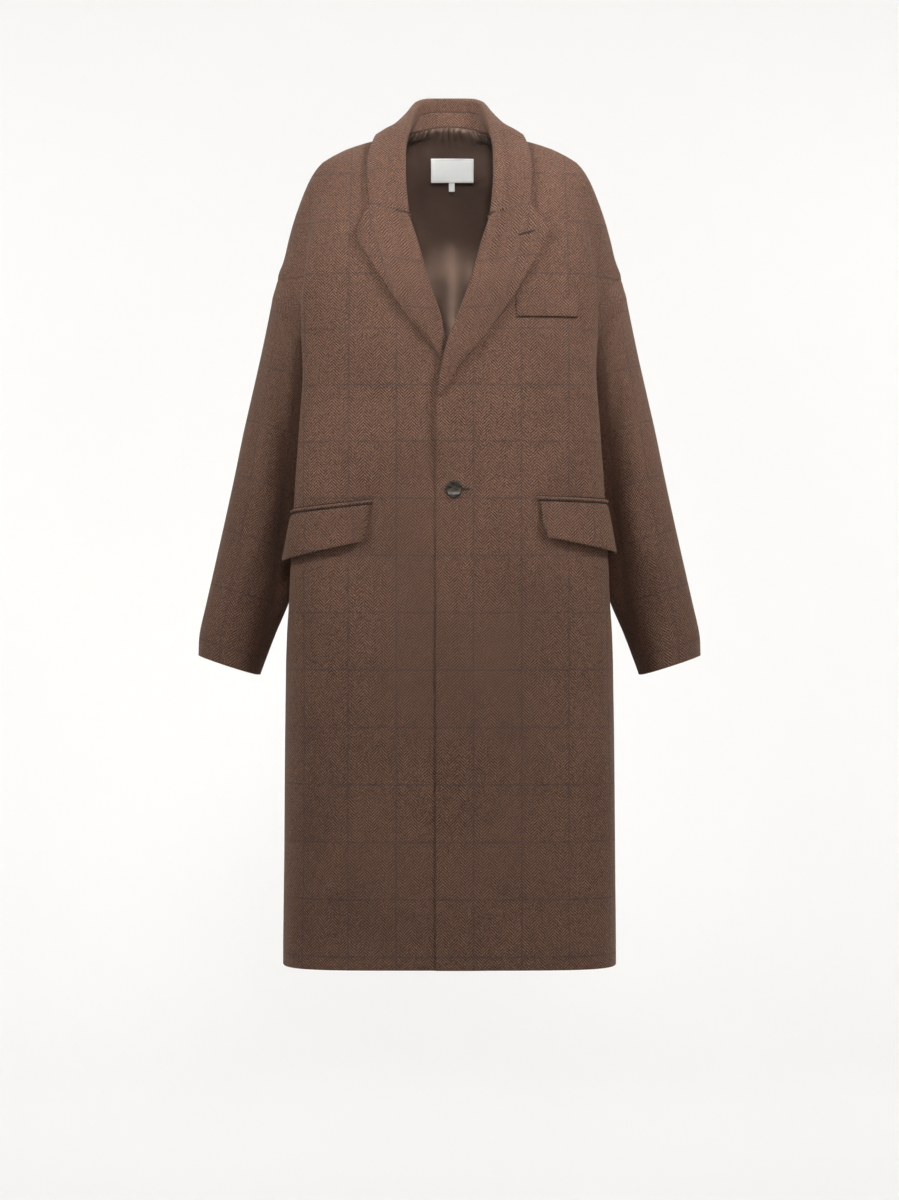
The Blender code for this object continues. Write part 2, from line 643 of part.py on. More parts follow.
def make_button(collection):
    """Round button with a raised rim, turned about its own axis and set on the left front."""
    back, _ = on_body(BUTTON_Z, BUTTON_X, 1, AIR)
    profile = (
        (0.0, 0.0),
        (0.80 * BUTTON_RADIUS, 0.0),
        (BUTTON_RADIUS, 0.35 * BUTTON_THICK),
        (BUTTON_RADIUS, 0.70 * BUTTON_THICK),
        (0.90 * BUTTON_RADIUS, BUTTON_THICK),
        (0.78 * BUTTON_RADIUS, BUTTON_THICK),
        (0.66 * BUTTON_RADIUS, 0.70 * BUTTON_THICK),
        (0.0, 0.66 * BUTTON_THICK),
    )
    bm = bmesh.new()
    verts = [bm.verts.new((back.x + r, back.y - h, back.z)) for r, h in profile]
    edges = [bm.edges.new(pair) for pair in zip(verts, verts[1:])]
    bmesh.ops.spin(
        bm, geom=verts + edges, cent=back, axis=(0.0, 1.0, 0.0),
        angle=2.0 * math.pi, steps=28, use_merge=True,
    )
    bmesh.ops.remove_doubles(bm, verts=bm.verts, dist=1e-5)
    return add_object("button", bm, "horn", collection)


def build():
    """Clear the scene and make every piece of the coat."""
    for old in list(bpy.data.objects):
        bpy.data.objects.remove(old, do_unlink=True)
    coat = bpy.data.collections.new(NAME)
    bpy.context.scene.collection.children.link(coat)

    wall("front_left", front_rows(1), CLOTH, "tweed", coat)
    wall("front_right", front_rows(-1), CLOTH, "tweed", coat)
    wall("back", back_rows(), CLOTH, "tweed", coat)
    wall("sleeve_left", sleeve_rows(1), CLOTH, "tweed", coat, closed=True)
    wall("sleeve_right", sleeve_rows(-1), CLOTH, "tweed", coat, closed=True)
    wall("collar", ring_rows(collar_row, 1.0), DOUBLE, "tweed", coat)
    wall("collar_stand", ring_rows(stand_row, STAND_END), CLOTH, "tweed", coat)
    wall("lapel_left", lapel_rows(LAPEL_LEFT, 1), DOUBLE, "tweed", coat)
    wall("lapel_right", lapel_rows(LAPEL_RIGHT, -1), DOUBLE, "tweed", coat)

    for name, x, width, top_in, top_out, low_in, low_out in POCKETS:
        side = 1 if name == "left" else -1
        start = at_x(top_in, x)
        ends = (start, start + width)
        heights = (top_in, top_out, low_in, low_out)
        rows = patch_rows(side, ends, heights, DOUBLE + FLAP_AIR, FLAP_FLARE, FLAP_SLANT, FLAP_CORNER)
        wall("flap_" + name, rows, DOUBLE, "tweed", coat)
        ends = (start - JET_SPARE, start + width + JET_SPARE)
        heights = (top_in + JET_HEIGHT, top_out + JET_HEIGHT, top_in + SEAM, top_out + SEAM)
        wall("jet_" + name, patch_rows(side, ends, heights, CLOTH + JET_AIR), CLOTH, "tweed", coat)

    start = at_x(WELT_TOP_Z, WELT_X)
    heights = (WELT_TOP_Z, WELT_TOP_Z, WELT_LOW_Z, WELT_LOW_Z)
    rows = patch_rows(1, (start, start + WELT_WIDTH), heights, CLOTH + AIR)
    wall("breast_welt", rows, CLOTH, "tweed", coat)

    wall("lining_back", lining_rows(), FINE, "satin", coat)
    wall("label", tape_rows(LABEL_ROWS, LABEL_X), FINE, "tape", coat)
    wall("size_tab", tape_rows(TAB_ROWS, TAB_X), FINE, "tape", coat)
    make_button(coat)


build()
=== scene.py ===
"""Looks of a cocoon coat in brown herringbone wool, filled out as if worn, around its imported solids."""
import functools
import logging
import math
from dataclasses import dataclass, field
from enum import Enum
from typing import Callable, Iterable, Optional, Sequence

import bmesh
import bpy
import numpy as np
from mathutils import Matrix, Vector


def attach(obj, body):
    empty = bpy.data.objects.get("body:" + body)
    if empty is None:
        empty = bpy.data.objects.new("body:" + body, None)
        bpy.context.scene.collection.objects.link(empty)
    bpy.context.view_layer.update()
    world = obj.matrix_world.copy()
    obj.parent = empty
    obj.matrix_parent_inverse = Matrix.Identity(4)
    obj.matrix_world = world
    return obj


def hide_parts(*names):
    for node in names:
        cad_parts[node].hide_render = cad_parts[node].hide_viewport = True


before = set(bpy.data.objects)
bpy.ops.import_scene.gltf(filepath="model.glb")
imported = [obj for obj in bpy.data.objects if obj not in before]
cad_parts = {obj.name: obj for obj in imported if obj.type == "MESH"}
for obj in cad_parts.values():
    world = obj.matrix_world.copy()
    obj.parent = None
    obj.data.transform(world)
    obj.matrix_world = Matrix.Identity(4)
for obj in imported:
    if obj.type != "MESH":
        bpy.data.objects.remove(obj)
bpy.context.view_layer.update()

log = logging.getLogger("cocoon_coat")

CLOTH = 0.0020
DOUBLE = 0.0026
FINE = 0.0010
THIN = 0.0006
SEAM = 0.0004
ARM_SEAM = 0.0008
AIR = 0.0005
SEAM_DIP = 0.0006
SEAM_REACH = 0.0035
UV_NAME = "cloth"
Bar = tuple[np.ndarray, np.ndarray]
Grid = tuple[np.ndarray, np.ndarray, np.ndarray]
Pair = tuple[float, float]
Triple = tuple[float, float, float]
Inputs = dict[str | int, object]
Socket = bpy.types.NodeSocket
Amount = float | np.ndarray


class Face(Enum):
    """Which half of a body section is read."""

    FRONT = -1
    BACK = 1


class Side(Enum):
    """The wearer's side of a piece."""

    RIGHT = -1
    LEFT = 1

    @property
    def word(self) -> str:
        """Lower-case word for piece names."""
        return self.name.lower()


class Hold(Enum):
    """How a sheet of cloth is held."""

    HUNG = "hung"
    FOLDED = "folded"
    LAID = "laid"


def ease(value: np.ndarray) -> np.ndarray:
    """Smooth step from 0 to 1.

    Args:
        value: Share of the step, cut off at 0 and 1.

    Returns:
        The smoothed share.
    """
    value = np.clip(value, 0.0, 1.0)
    return value * value * (3.0 - 2.0 * value)


def signed_power(value: np.ndarray, power: float) -> np.ndarray:
    """Power of a value that keeps its sign."""
    return np.sign(value) * np.abs(value) ** power


def unit(vectors: np.ndarray) -> np.ndarray:
    """Vectors scaled to length one."""
    return vectors / np.maximum(np.linalg.norm(vectors, axis=-1, keepdims=True), 1e-12)


def hump(off: float | np.ndarray, width: float) -> np.ndarray:
    """Soft hump that is 1 at its middle."""
    return np.exp(-((off / width) ** 2))


def between(first: Amount, last: Amount, share: Amount) -> Amount:
    """Value a share of the way from the first to the last."""
    return first + (last - first) * share


def stacked(rows: Iterable[Sequence[np.ndarray]]) -> tuple[np.ndarray, ...]:
    """One array for each column of a list of rows."""
    return tuple(np.array(column) for column in zip(*rows))


def smooth_through(knots: np.ndarray, keys: Sequence[float], wanted: Sequence[float]) -> np.ndarray:
    """Smooth curve through rows of points.

    Args:
        knots: Points to pass through, stacked along the first axis.
        keys: Rising parameter of each knot.
        wanted: Parameters to read the curve at.

    Returns:
        The points on the curve, stacked along the first axis.
    """
    keys = np.asarray(keys, float)
    slopes = np.empty_like(knots)
    slopes[0] = (knots[1] - knots[0]) / (keys[1] - keys[0])
    slopes[-1] = (knots[-1] - knots[-2]) / (keys[-1] - keys[-2])
    spans = (keys[2:] - keys[:-2]).reshape((-1,) + (1,) * (knots.ndim - 1))
    slopes[1:-1] = (knots[2:] - knots[:-2]) / spans
    made = []
    for want in wanted:
        k = int(np.clip(np.searchsorted(keys, want, side="right") - 1, 0, len(keys) - 2))
        span = keys[k + 1] - keys[k]
        t = (want - keys[k]) / span
        point = knots[k] * (1 + 2 * t) * (1 - t) ** 2 + knots[k + 1] * t * t * (3 - 2 * t)
        point = point + span * (slopes[k] * t * (1 - t) ** 2 - slopes[k + 1] * t * t * (1 - t))
        made.append(point)
    return np.array(made)


def even_path(points: np.ndarray, count: int) -> np.ndarray:
    """Points spread evenly along a smooth path through a few given ones.

    Args:
        points: The given points.
        count: How many points come back.

    Returns:
        The evenly spread points.
    """
    lengths = np.concatenate(([0.0], np.cumsum(np.linalg.norm(np.diff(points, axis=0), axis=1))))
    lengths = lengths + np.arange(len(lengths)) * 1e-9
    return smooth_through(points, lengths, np.linspace(0.0, lengths[-1], count))


class Table:
    """Named columns against a rising key, read through a curve that never overshoots its rows."""

    def __init__(self, names: str, rows: Iterable[tuple[float, ...]]) -> None:
        """Keep the rows in order of their key.

        Args:
            names: Column names, the key's first.
            rows: Rows of numbers, one for each key.
        """
        self.names = names.split()
        self.rows = sorted(rows)
        self.keys = [row[0] for row in self.rows]

    def slope(self, column: int, k: int) -> float:
        """Slope of the curve at a row.

        Args:
            column: Index of the column.
            k: Index of the row.

        Returns:
            The harmonic mean of the two chords at the row, or none at a turn or an end.
        """
        if k == 0 or k == len(self.rows) - 1:
            return 0.0
        chords = []
        for first in (k - 1, k):
            rise = self.rows[first + 1][column] - self.rows[first][column]
            chords.append(rise / (self.keys[first + 1] - self.keys[first]))
        if chords[0] * chords[1] <= 0.0:
            return 0.0
        return 2.0 * chords[0] * chords[1] / (chords[0] + chords[1])

    @functools.lru_cache(maxsize=None)
    def at(self, key: float, name: str) -> float:
        """Value of a named column.

        Args:
            key: Where the table is read; past its ends it stays level.
            name: Name of the column.

        Returns:
            The value there.
        """
        column = self.names.index(name)
        if key <= self.keys[0]:
            return self.rows[0][column]
        if key >= self.keys[-1]:
            return self.rows[-1][column]
        k = max(i for i, start in enumerate(self.keys[:-1]) if start <= key)
        span = self.keys[k + 1] - self.keys[k]
        t = (key - self.keys[k]) / span
        low = self.rows[k][column]
        high = self.rows[k + 1][column]
        value = low + (high - low) * t * t * (3.0 - 2.0 * t)
        value += span * self.slope(column, k) * t * (1.0 - t) ** 2
        value -= span * self.slope(column, k + 1) * t * t * (1.0 - t)
        return value


@dataclass(frozen=True)
class Crease:
    """One soft fold on a panel, from one place to another in metres across and up the cloth."""

    start: Pair
    end: Pair
    width: float
    lift: float

    def lift_at(self, across: np.ndarray, up: np.ndarray) -> np.ndarray:
        """Height of the fold at places on the cloth.

        Args:
            across: Places across the cloth.
            up: Places up the cloth.

        Returns:
            The height above the plain form, fading to both ends of the fold.
        """
        run = np.array(self.end) - np.array(self.start)
        length = float(np.hypot(*run))
        along = ((across - self.start[0]) * run[0] + (up - self.start[1]) * run[1]) / length ** 2
        off = ((across - self.start[0]) * run[1] - (up - self.start[1]) * run[0]) / length
        fade = np.where((along > 0.0) & (along < 1.0), np.sin(np.pi * np.clip(along, 0, 1)) ** 1.5, 0.0)
        return self.lift * fade * hump(off, self.width)


def creased(creases: Sequence[Crease], across: np.ndarray, up: np.ndarray) -> np.ndarray:
    """Sum of the folds of a panel at places on its cloth."""
    return sum((crease.lift_at(across, up) for crease in creases), np.zeros_like(across))


def folds(*rows: tuple[float, ...]) -> tuple[Crease, ...]:
    """Creases from rows of their start, end, width and lift."""
    return tuple(Crease(row[:2], row[2:4], *row[4:]) for row in rows)


@dataclass
class BodyForm:
    """Form of the filled-out coat: sections from the neck to the hem, the lap and the armhole."""

    neck_z: float = 0.045
    front_top_z: float = 0.040
    gorge_z: float = -0.082
    arm_top_z: float = -0.161
    arm_low_z: float = -0.320
    hem_z: float = -1.109
    arm_half_depth: float = 0.070
    lap_fade_from: float = 0.015
    lap_fade_run: float = 0.060
    samples: int = 420
    swell_power: float = 2.0
    pinch_power: float = 4.0
    fold_at: float = 0.62
    fold_width: float = 0.16
    row_counts: tuple[int, int, int] = (44, 41, 112)
    sections: Table = field(default_factory=lambda: Table(
        "z box side front back rise square round reach fold", [
            (0.045, 0.068, 0.068, 0.003, 0.058, 0.0170, 2.0, 2.2, 0.045, 0.000),
            (0.031, 0.117, 0.117, 0.017, 0.070, 0.0150, 2.0, 2.2, 0.045, 0.000),
            (0.021, 0.146, 0.146, 0.025, 0.077, 0.0130, 2.0, 2.2, 0.045, 0.000),
            (0.010, 0.167, 0.167, 0.034, 0.084, 0.0105, 2.1, 2.2, 0.045, 0.000),
            (0.000, 0.181, 0.181, 0.042, 0.092, 0.0080, 2.2, 2.3, 0.045, 0.000),
            (-0.021, 0.191, 0.195, 0.056, 0.106, 0.0040, 2.5, 2.4, 0.045, 0.002),
            (-0.049, 0.196, 0.207, 0.069, 0.119, 0.0010, 3.0, 2.5, 0.045, 0.005),
            (-0.077, 0.199, 0.217, 0.081, 0.128, 0.0000, 3.6, 2.6, 0.045, 0.007),
            (-0.105, 0.202, 0.225, 0.091, 0.135, 0.0000, 4.2, 2.7, 0.045, 0.009),
            (-0.133, 0.205, 0.232, 0.099, 0.140, 0.0000, 4.8, 2.8, 0.045, 0.010),
            (-0.161, 0.208, 0.241, 0.105, 0.144, 0.0000, 5.2, 2.9, 0.045, 0.011),
            (-0.185, 0.211, 0.238, 0.110, 0.147, 0.0000, 5.3, 2.9, 0.046, 0.011),
            (-0.212, 0.213, 0.225, 0.114, 0.149, 0.0000, 5.4, 3.0, 0.050, 0.011),
            (-0.260, 0.216, 0.198, 0.120, 0.153, 0.0000, 5.4, 3.1, 0.075, 0.008),
            (-0.320, 0.219, 0.175, 0.126, 0.157, 0.0000, 5.4, 3.2, 0.082, 0.002),
            (-0.400, 0.222, 0.174, 0.132, 0.160, 0.0000, 5.2, 3.2, 0.080, 0.000),
            (-0.455, 0.224, 0.180, 0.136, 0.162, 0.0000, 5.0, 3.2, 0.078, 0.000),
            (-0.525, 0.226, 0.191, 0.139, 0.163, 0.0000, 4.8, 3.2, 0.075, 0.000),
            (-0.598, 0.227, 0.209, 0.142, 0.163, 0.0000, 4.4, 3.2, 0.070, 0.000),
            (-0.650, 0.2265, 0.2235, 0.144, 0.162, 0.0000, 4.4, 3.2, 0.070, 0.000),
            (-0.700, 0.2265, 0.2265, 0.145, 0.160, 0.0000, 4.4, 3.2, 0.070, 0.000),
            (-0.800, 0.2277, 0.2277, 0.147, 0.157, 0.0000, 4.5, 3.3, 0.070, 0.000),
            (-0.960, 0.2287, 0.2287, 0.148, 0.151, 0.0000, 4.7, 3.5, 0.070, 0.000),
            (-1.109, 0.2300, 0.2300, 0.147, 0.146, 0.0000, 5.0, 3.6, 0.070, 0.000),
        ]))
    front_edge: Table = field(default_factory=lambda: Table("z x lap", [
        (0.045, 0.0680, 0.0),
        (0.020, 0.0695, 0.0),
        (0.000, 0.0695, 0.0),
        (-0.020, 0.0685, 0.0),
        (-0.040, 0.0660, 0.0),
        (-0.060, 0.0630, 0.0),
        (-0.082, 0.0590, 0.0),
        (-0.120, 0.0475, 0.0),
        (-0.180, 0.0305, 0.0015),
        (-0.240, 0.0080, 0.0058),
        (-0.278, -0.0055, 0.0058),
        (-0.313, -0.0130, 0.0058),
        (-0.342, -0.0180, 0.0050),
        (-0.420, -0.0185, 0.0028),
        (-1.109, -0.0185, 0.0028),
    ]))
    cache: dict[tuple[float, Face], np.ndarray] = field(default_factory=dict)

    def section(self, z: float, face: Face) -> np.ndarray:
        """Half a section from the centre line to the side.

        Args:
            z: Height of the section.
            face: Front or back half.

        Returns:
            Rows of distance, x and depth.
        """
        z = round(z * 4000.0) / 4000.0
        if (z, face) in self.cache:
            return self.cache[z, face]
        read = functools.partial(self.sections.at, z)
        box = read("box")
        depth = read("front" if face is Face.FRONT else "back")
        power = 2.0 / read("square" if face is Face.FRONT else "round")
        swell = read("side") - box
        angle = np.linspace(0.0, 0.5 * np.pi, self.samples + 1)
        x = box * np.sin(angle) ** power
        y = depth * np.maximum(np.cos(angle), 0.0) ** power
        outer = (x / box) ** 2
        fade = self.swell_power if swell > 0.0 else self.pinch_power
        x = x + outer * swell * np.exp(-((y / read("reach")) ** fade))
        x = x - outer * read("fold") * hump(y - self.fold_at * depth, self.fold_width * depth)
        steps = np.hypot(np.diff(x), np.diff(y))
        rows = np.stack([np.concatenate(([0.0], np.cumsum(steps))), x, y], axis=1)
        self.cache[z, face] = rows
        return rows

    def half_length(self, z: float, face: Face) -> float:
        """Length of half a section, from the centre line to the side."""
        return float(self.section(z, face)[-1, 0])

    def total(self, z: float) -> float:
        """Distance round a section from the centre front to the centre back."""
        return self.half_length(z, Face.FRONT) + self.half_length(z, Face.BACK)

    def look_up(self, z: float, face: Face, column: int, value: float) -> float:
        """Distance along a half section where a column reaches a value.

        Args:
            z: Height of the section.
            face: Front or back half.
            column: 1 for x, 2 for depth.
            value: The value to reach.

        Returns:
            Distance from the centre line of that half, or its whole length.
        """
        rows = self.section(z, face)
        off = rows[:, column] - value
        found = np.nonzero(off[:-1] * off[1:] <= 0.0)[0]
        if not len(found):
            return float(rows[-1, 0])
        k = int(found[0])
        gap = off[k] - off[k + 1]
        t = off[k] / gap if gap else 0.0
        return float(rows[k, 0] + (rows[k + 1, 0] - rows[k, 0]) * t)

    def at_x(self, z: float, x: float, face: Face = Face.FRONT) -> float:
        """Distance from the centre front to an x on the front or the back.

        Args:
            z: Height.
            x: Place across.
            face: Front or back.

        Returns:
            The distance round the body.
        """
        found = self.look_up(z, face, 1, abs(x))
        return self.total(z) - found if face is Face.BACK else math.copysign(found, x)

    def at_depth(self, z: float, depth: float, face: Face) -> float:
        """Distance from the centre front to a depth on the front or the back near the side.

        Args:
            z: Height.
            depth: Place in depth.
            face: Front or back.

        Returns:
            The distance round the body.
        """
        found = self.look_up(z, face, 2, depth)
        return self.total(z) - found if face is Face.BACK else found

    def place(self, z: float, distance: np.ndarray, side: Side) -> np.ndarray:
        """Points on the plain cloth.

        Args:
            z: Height of the section.
            distance: Distances round the section from the centre front.
            side: Which way round.

        Returns:
            The points, one row each.
        """
        front = self.section(z, Face.FRONT)
        back = self.section(z, Face.BACK)
        reach = front[-1, 0]
        total = reach + back[-1, 0]
        sign = np.where((distance < 0.0) | (distance > total), -side.value, side.value)
        distance = np.abs(distance)
        distance = np.where(distance > total, 2.0 * total - distance, distance)
        ahead = distance <= reach
        x = np.where(ahead, np.interp(distance, front[:, 0], front[:, 1]),
                     np.interp(total - distance, back[:, 0], back[:, 1]))
        y = np.where(ahead, -np.interp(distance, front[:, 0], front[:, 2]),
                     np.interp(total - distance, back[:, 0], back[:, 2]))
        share = np.minimum(x / self.sections.at(z, "box"), 1.0)
        rise = np.where(ahead, 0.0, self.sections.at(z, "rise") * (1.0 - share ** 2))
        return np.stack([sign * x, y, z + rise], axis=1)

    def normal(self, z: float, distance: np.ndarray, side: Side) -> np.ndarray:
        """Outward normals of the plain cloth.

        Args:
            z: Height of the section.
            distance: Distances round the section from the centre front.
            side: Which way round.

        Returns:
            Unit normals, one row each.
        """
        step = 0.002
        across = self.place(z, distance + step, side) - self.place(z, distance - step, side)
        high = self.place(min(z + step, self.neck_z), distance, side)
        up = high - self.place(z - step, distance, side)
        return unit(np.cross(across, up)) * side.value

    def on_body(self, z: float, distance: np.ndarray, side: Side,
                lift: float | np.ndarray = 0.0) -> Bar:
        """Points and normals on the cloth; the left front stands off the right one at the lap.

        Args:
            z: Height of the section.
            distance: Distances round the section from the centre front.
            side: Which way round.
            lift: How far the points are moved out.

        Returns:
            The points and their normals.
        """
        distance = np.atleast_1d(np.asarray(distance, float))
        points = self.place(z, distance, side)
        normals = self.normal(z, distance, side)
        if side is Side.LEFT:
            fade = 1.0 - ease((points[:, 0] - self.lap_fade_from) / self.lap_fade_run)
            points[:, 1] -= np.where(points[:, 1] < 0.0, self.front_edge.at(z, "lap") * fade, 0.0)
        return points + normals * np.reshape(lift, (-1, 1)), normals

    def spot(self, z: float, distance: float, side: Side, lift: float = 0.0) -> Bar:
        """One point on the cloth and its normal.

        Args:
            z: Height.
            distance: Distance round the body.
            side: The wearer's side.
            lift: How far the point is moved out.

        Returns:
            The point and its normal.
        """
        points, normals = self.on_body(float(z), distance, side, float(lift))
        return points[0], normals[0]

    def edge_distance(self, z: float) -> float:
        """Distance from the centre front to the front edge."""
        return self.at_x(z, self.front_edge.at(z, "x"))

    @property
    def arm_middle(self) -> float:
        """Height of the middle of the armhole."""
        return 0.5 * (self.arm_top_z + self.arm_low_z)

    @property
    def arm_half(self) -> float:
        """Half the height of the armhole."""
        return 0.5 * (self.arm_top_z - self.arm_low_z)

    def seam_depth(self, z: float) -> float:
        """Depth at which the body panels end: at the armhole, or at the shoulder and side seams.

        Args:
            z: Height.

        Returns:
            The depth, 0 away from the armhole.
        """
        inside = max(1.0 - ((z - self.arm_middle) / self.arm_half) ** 2, 0.0)
        return self.arm_half_depth * math.sqrt(inside)

    def heights(self, top: float) -> list[float]:
        """Heights of the rows of a body panel down to the hem, closest at the ends of the armhole.

        Args:
            top: Highest row.

        Returns:
            The heights from the top down.
        """
        over, beside, under = self.row_counts
        arm = self.arm_middle + self.arm_half * np.cos(np.linspace(0.0, np.pi, beside))
        rows = np.concatenate([
            np.linspace(top, self.arm_top_z, over)[:-1], arm,
            np.linspace(self.arm_low_z, self.hem_z, under)[1:]])
        return [round(float(z), 6) for z in rows]


FORM = BodyForm()


class Sketch:
    """Adds nodes to one tree and links them."""

    def __init__(self, tree: bpy.types.NodeTree) -> None:
        """Keep the tree.

        Args:
            names: Column names, the key's first.
            rows: Rows of numbers, one for each key.
        """
        self.tree = tree

    def add(self, kind: str, inputs: Optional[Inputs] = None, **settings: object) -> bpy.types.Node:
        """Add a node.

        Args:
            kind: Node type.
            inputs: Values or sockets for its inputs.
            settings: Properties of the node.

        Returns:
            The node.
        """
        node = self.tree.nodes.new(kind)
        for name, value in settings.items():
            setattr(node, name, value)
        self.feed(node, inputs or {})
        return node

    def feed(self, node: bpy.types.Node, inputs: Inputs) -> None:
        """Link inputs of a node to sockets, or set their values."""
        for name, value in inputs.items():
            if isinstance(value, Socket):
                self.tree.links.new(value, node.inputs[name])
            else:
                node.inputs[name].default_value = value

    def group(self, tree: bpy.types.NodeTree, inputs: Inputs) -> bpy.types.NodeOutputs:
        """Outputs of a node group placed in the tree."""
        return self.add("ShaderNodeGroup", inputs, node_tree=tree).outputs

    def uv(self) -> Socket:
        """Place on the flat cloth."""
        return self.add("ShaderNodeUVMap", uv_map=UV_NAME).outputs[0]

    def place(self) -> Socket:
        """Place in the frame."""
        return self.add("ShaderNodeTexCoord").outputs["Object"]

    def math(self, operation: str, *values: object) -> Socket:
        """Result of a math node."""
        return self.add("ShaderNodeMath", dict(enumerate(values)), operation=operation).outputs[0]

    def span(self, value: object, low: float, high: float, start: float = 0.0, end: float = 1.0) -> Socket:
        """Value moved smoothly from one span to another.

        Args:
            value: Socket or number.
            low: Start of its span.
            high: End of its span.
            start: Start of the new span.
            end: End of the new span.

        Returns:
            Socket of the moved value.
        """
        inputs = dict(enumerate((value, low, high, start, end)))
        return self.add("ShaderNodeMapRange", inputs, interpolation_type="SMOOTHSTEP").outputs[0]

    def mix(self, factor: object, *colours: object) -> Socket:
        """Mix of two colours, by the share of the second.

        Args:
            factor: Share of the second colour.
            colours: Two sockets or colours of three numbers.

        Returns:
            Socket of the mixed colour.
        """
        first, second = (item if isinstance(item, Socket) else (*item, 1.0) for item in colours)
        return self.add("ShaderNodeMix", {0: factor, 6: first, 7: second}, data_type="RGBA").outputs[2]

    def noise(self, vector: object, scale: object, detail: float = 2.0, roughness: float = 0.5) -> Socket:
        """Value of a noise texture.

        Args:
            vector: Place that it is read at.
            scale: Cells a metre.
            detail: Finer layers.
            roughness: Strength of the finer layers.

        Returns:
            Socket of the noise, 0 to 1.
        """
        inputs = {"Vector": vector, "Scale": scale, "Detail": detail, "Roughness": roughness}
        return self.add("ShaderNodeTexNoise", inputs).outputs[0]

    def bump(self, height: Socket, strength: float, distance: float) -> Socket:
        """Normal of a bumped surface.

        Args:
            height: Socket of the height.
            strength: Share of the bump.
            distance: Height in metres.

        Returns:
            Socket of the normal.
        """
        values = {"Height": height, "Strength": strength, "Distance": distance}
        return self.add("ShaderNodeBump", values).outputs[0]


class Groups:
    """Shader node groups that several finishes share, each made once."""

    @staticmethod
    def start(name: str, vector: str, values: Sequence[str],
              outputs: Sequence[str]) -> tuple[Sketch, bpy.types.NodeOutputs, bpy.types.Node]:
        """Start a group.

        Args:
            name: Name of the group.
            vector: Name of its vector input.
            values: Names of its value inputs.
            outputs: Names of its value outputs.

        Returns:
            A sketch of the group, its inputs and its output node.
        """
        tree = bpy.data.node_groups.new(name, "ShaderNodeTree")
        tree.interface.new_socket(name=vector, in_out="INPUT", socket_type="NodeSocketVector")
        for way, names in (("INPUT", values), ("OUTPUT", outputs)):
            for socket in names:
                tree.interface.new_socket(name=socket, in_out=way, socket_type="NodeSocketFloat")
        return Sketch(tree), tree.nodes.new("NodeGroupInput").outputs, tree.nodes.new("NodeGroupOutput")

    @classmethod
    @functools.lru_cache(maxsize=None)
    def herringbone(cls) -> bpy.types.NodeTree:
        """Zigzag twill in columns: the ribs, the height of the thread and a tone for each float of yarn."""
        sketch, given, out = cls.start("herringbone", "UV", ("Column", "Pitch"), ("Twill", "Height", "Yarn"))
        math_node = sketch.math
        drift = math_node("SUBTRACT", sketch.noise(given["UV"], 260.0, 1.0), 0.5)
        wander = math_node("MULTIPLY", drift, 0.0016)
        split = sketch.add("ShaderNodeSeparateXYZ", {0: given["UV"]}).outputs
        across = math_node("ADD", split[0], 10.0)
        turned = math_node("PINGPONG", across, given["Column"])
        column = math_node("FLOOR", math_node("DIVIDE", across, given["Column"]))
        shift = math_node("MULTIPLY", math_node("MODULO", column, 2.0), 0.5)
        along = math_node("ADD", math_node("ADD", split[1], turned), wander)
        phase = math_node("ADD", math_node("DIVIDE", along, given["Pitch"]), shift)
        wave = math_node("SINE", math_node("MULTIPLY", phase, 2.0 * math.pi))
        twill = math_node("MULTIPLY_ADD", wave, 0.5, 0.5)
        threads = math_node("SINE", math_node("MULTIPLY", split[1], 2.0 * math.pi / 0.0011))
        height = math_node("ADD", twill, math_node("MULTIPLY", threads, 0.18))
        rib = math_node("FLOOR", math_node("MULTIPLY", phase, 2.0))
        back = math_node("DIVIDE", math_node("SUBTRACT", split[1], turned), given["Pitch"])
        run = math_node("FLOOR", math_node("MULTIPLY_ADD", back, 2.0, math_node("MULTIPLY", rib, 0.37)))
        cell = sketch.add("ShaderNodeCombineXYZ", {0: rib, 1: run, 2: column}).outputs[0]
        yarn = sketch.add("ShaderNodeTexWhiteNoise", {"Vector": cell}, noise_dimensions="3D").outputs[0]
        sketch.feed(out, {"Twill": twill, "Height": height, "Yarn": yarn})
        return sketch.tree

    @classmethod
    @functools.lru_cache(maxsize=None)
    def heather(cls) -> bpy.types.NodeTree:
        """Mixed fibres: light flecks, dark flecks and the fine fuzz between them."""
        sketch, given, out = cls.start("heather", "UV", ("Grain",), ("Light", "Dark", "Fuzz"))
        scale = sketch.math("DIVIDE", 1.0, given["Grain"])
        shift = {0: given["UV"], 1: (3.1, 1.7, 0.4)}
        moved = sketch.add("ShaderNodeVectorMath", shift, operation="ADD").outputs[0]
        for name, vector in (("Light", given["UV"]), ("Dark", moved)):
            sketch.feed(out, {name: sketch.span(sketch.noise(vector, scale, 2.0, 0.65), 0.50, 0.68)})
        sketch.feed(out, {"Fuzz": sketch.noise(given["UV"], sketch.math("MULTIPLY", scale, 2.6), 2.0, 0.7)})
        return sketch.tree

    @classmethod
    @functools.lru_cache(maxsize=None)
    def windowpane(cls) -> bpy.types.NodeTree:
        """Thin crossing lines of a large check."""
        sketch, given, out = cls.start("windowpane", "UV", ("Across", "Down", "Line"), ("Mask",))
        split = sketch.add("ShaderNodeSeparateXYZ", {0: given["UV"]}).outputs
        lines = []
        for axis, name in enumerate(("Across", "Down")):
            turns = sketch.math("ADD", sketch.math("DIVIDE", split[axis], given[name]), 100.5)
            off = sketch.math("ABSOLUTE", sketch.math("SUBTRACT", sketch.math("FRACT", turns), 0.5))
            off = sketch.math("DIVIDE", sketch.math("MULTIPLY", off, given[name]), given["Line"])
            lines.append(sketch.span(sketch.math("SUBTRACT", 1.0, off), 0.0, 0.7))
        sketch.feed(out, {"Mask": sketch.math("MAXIMUM", *lines)})
        return sketch.tree

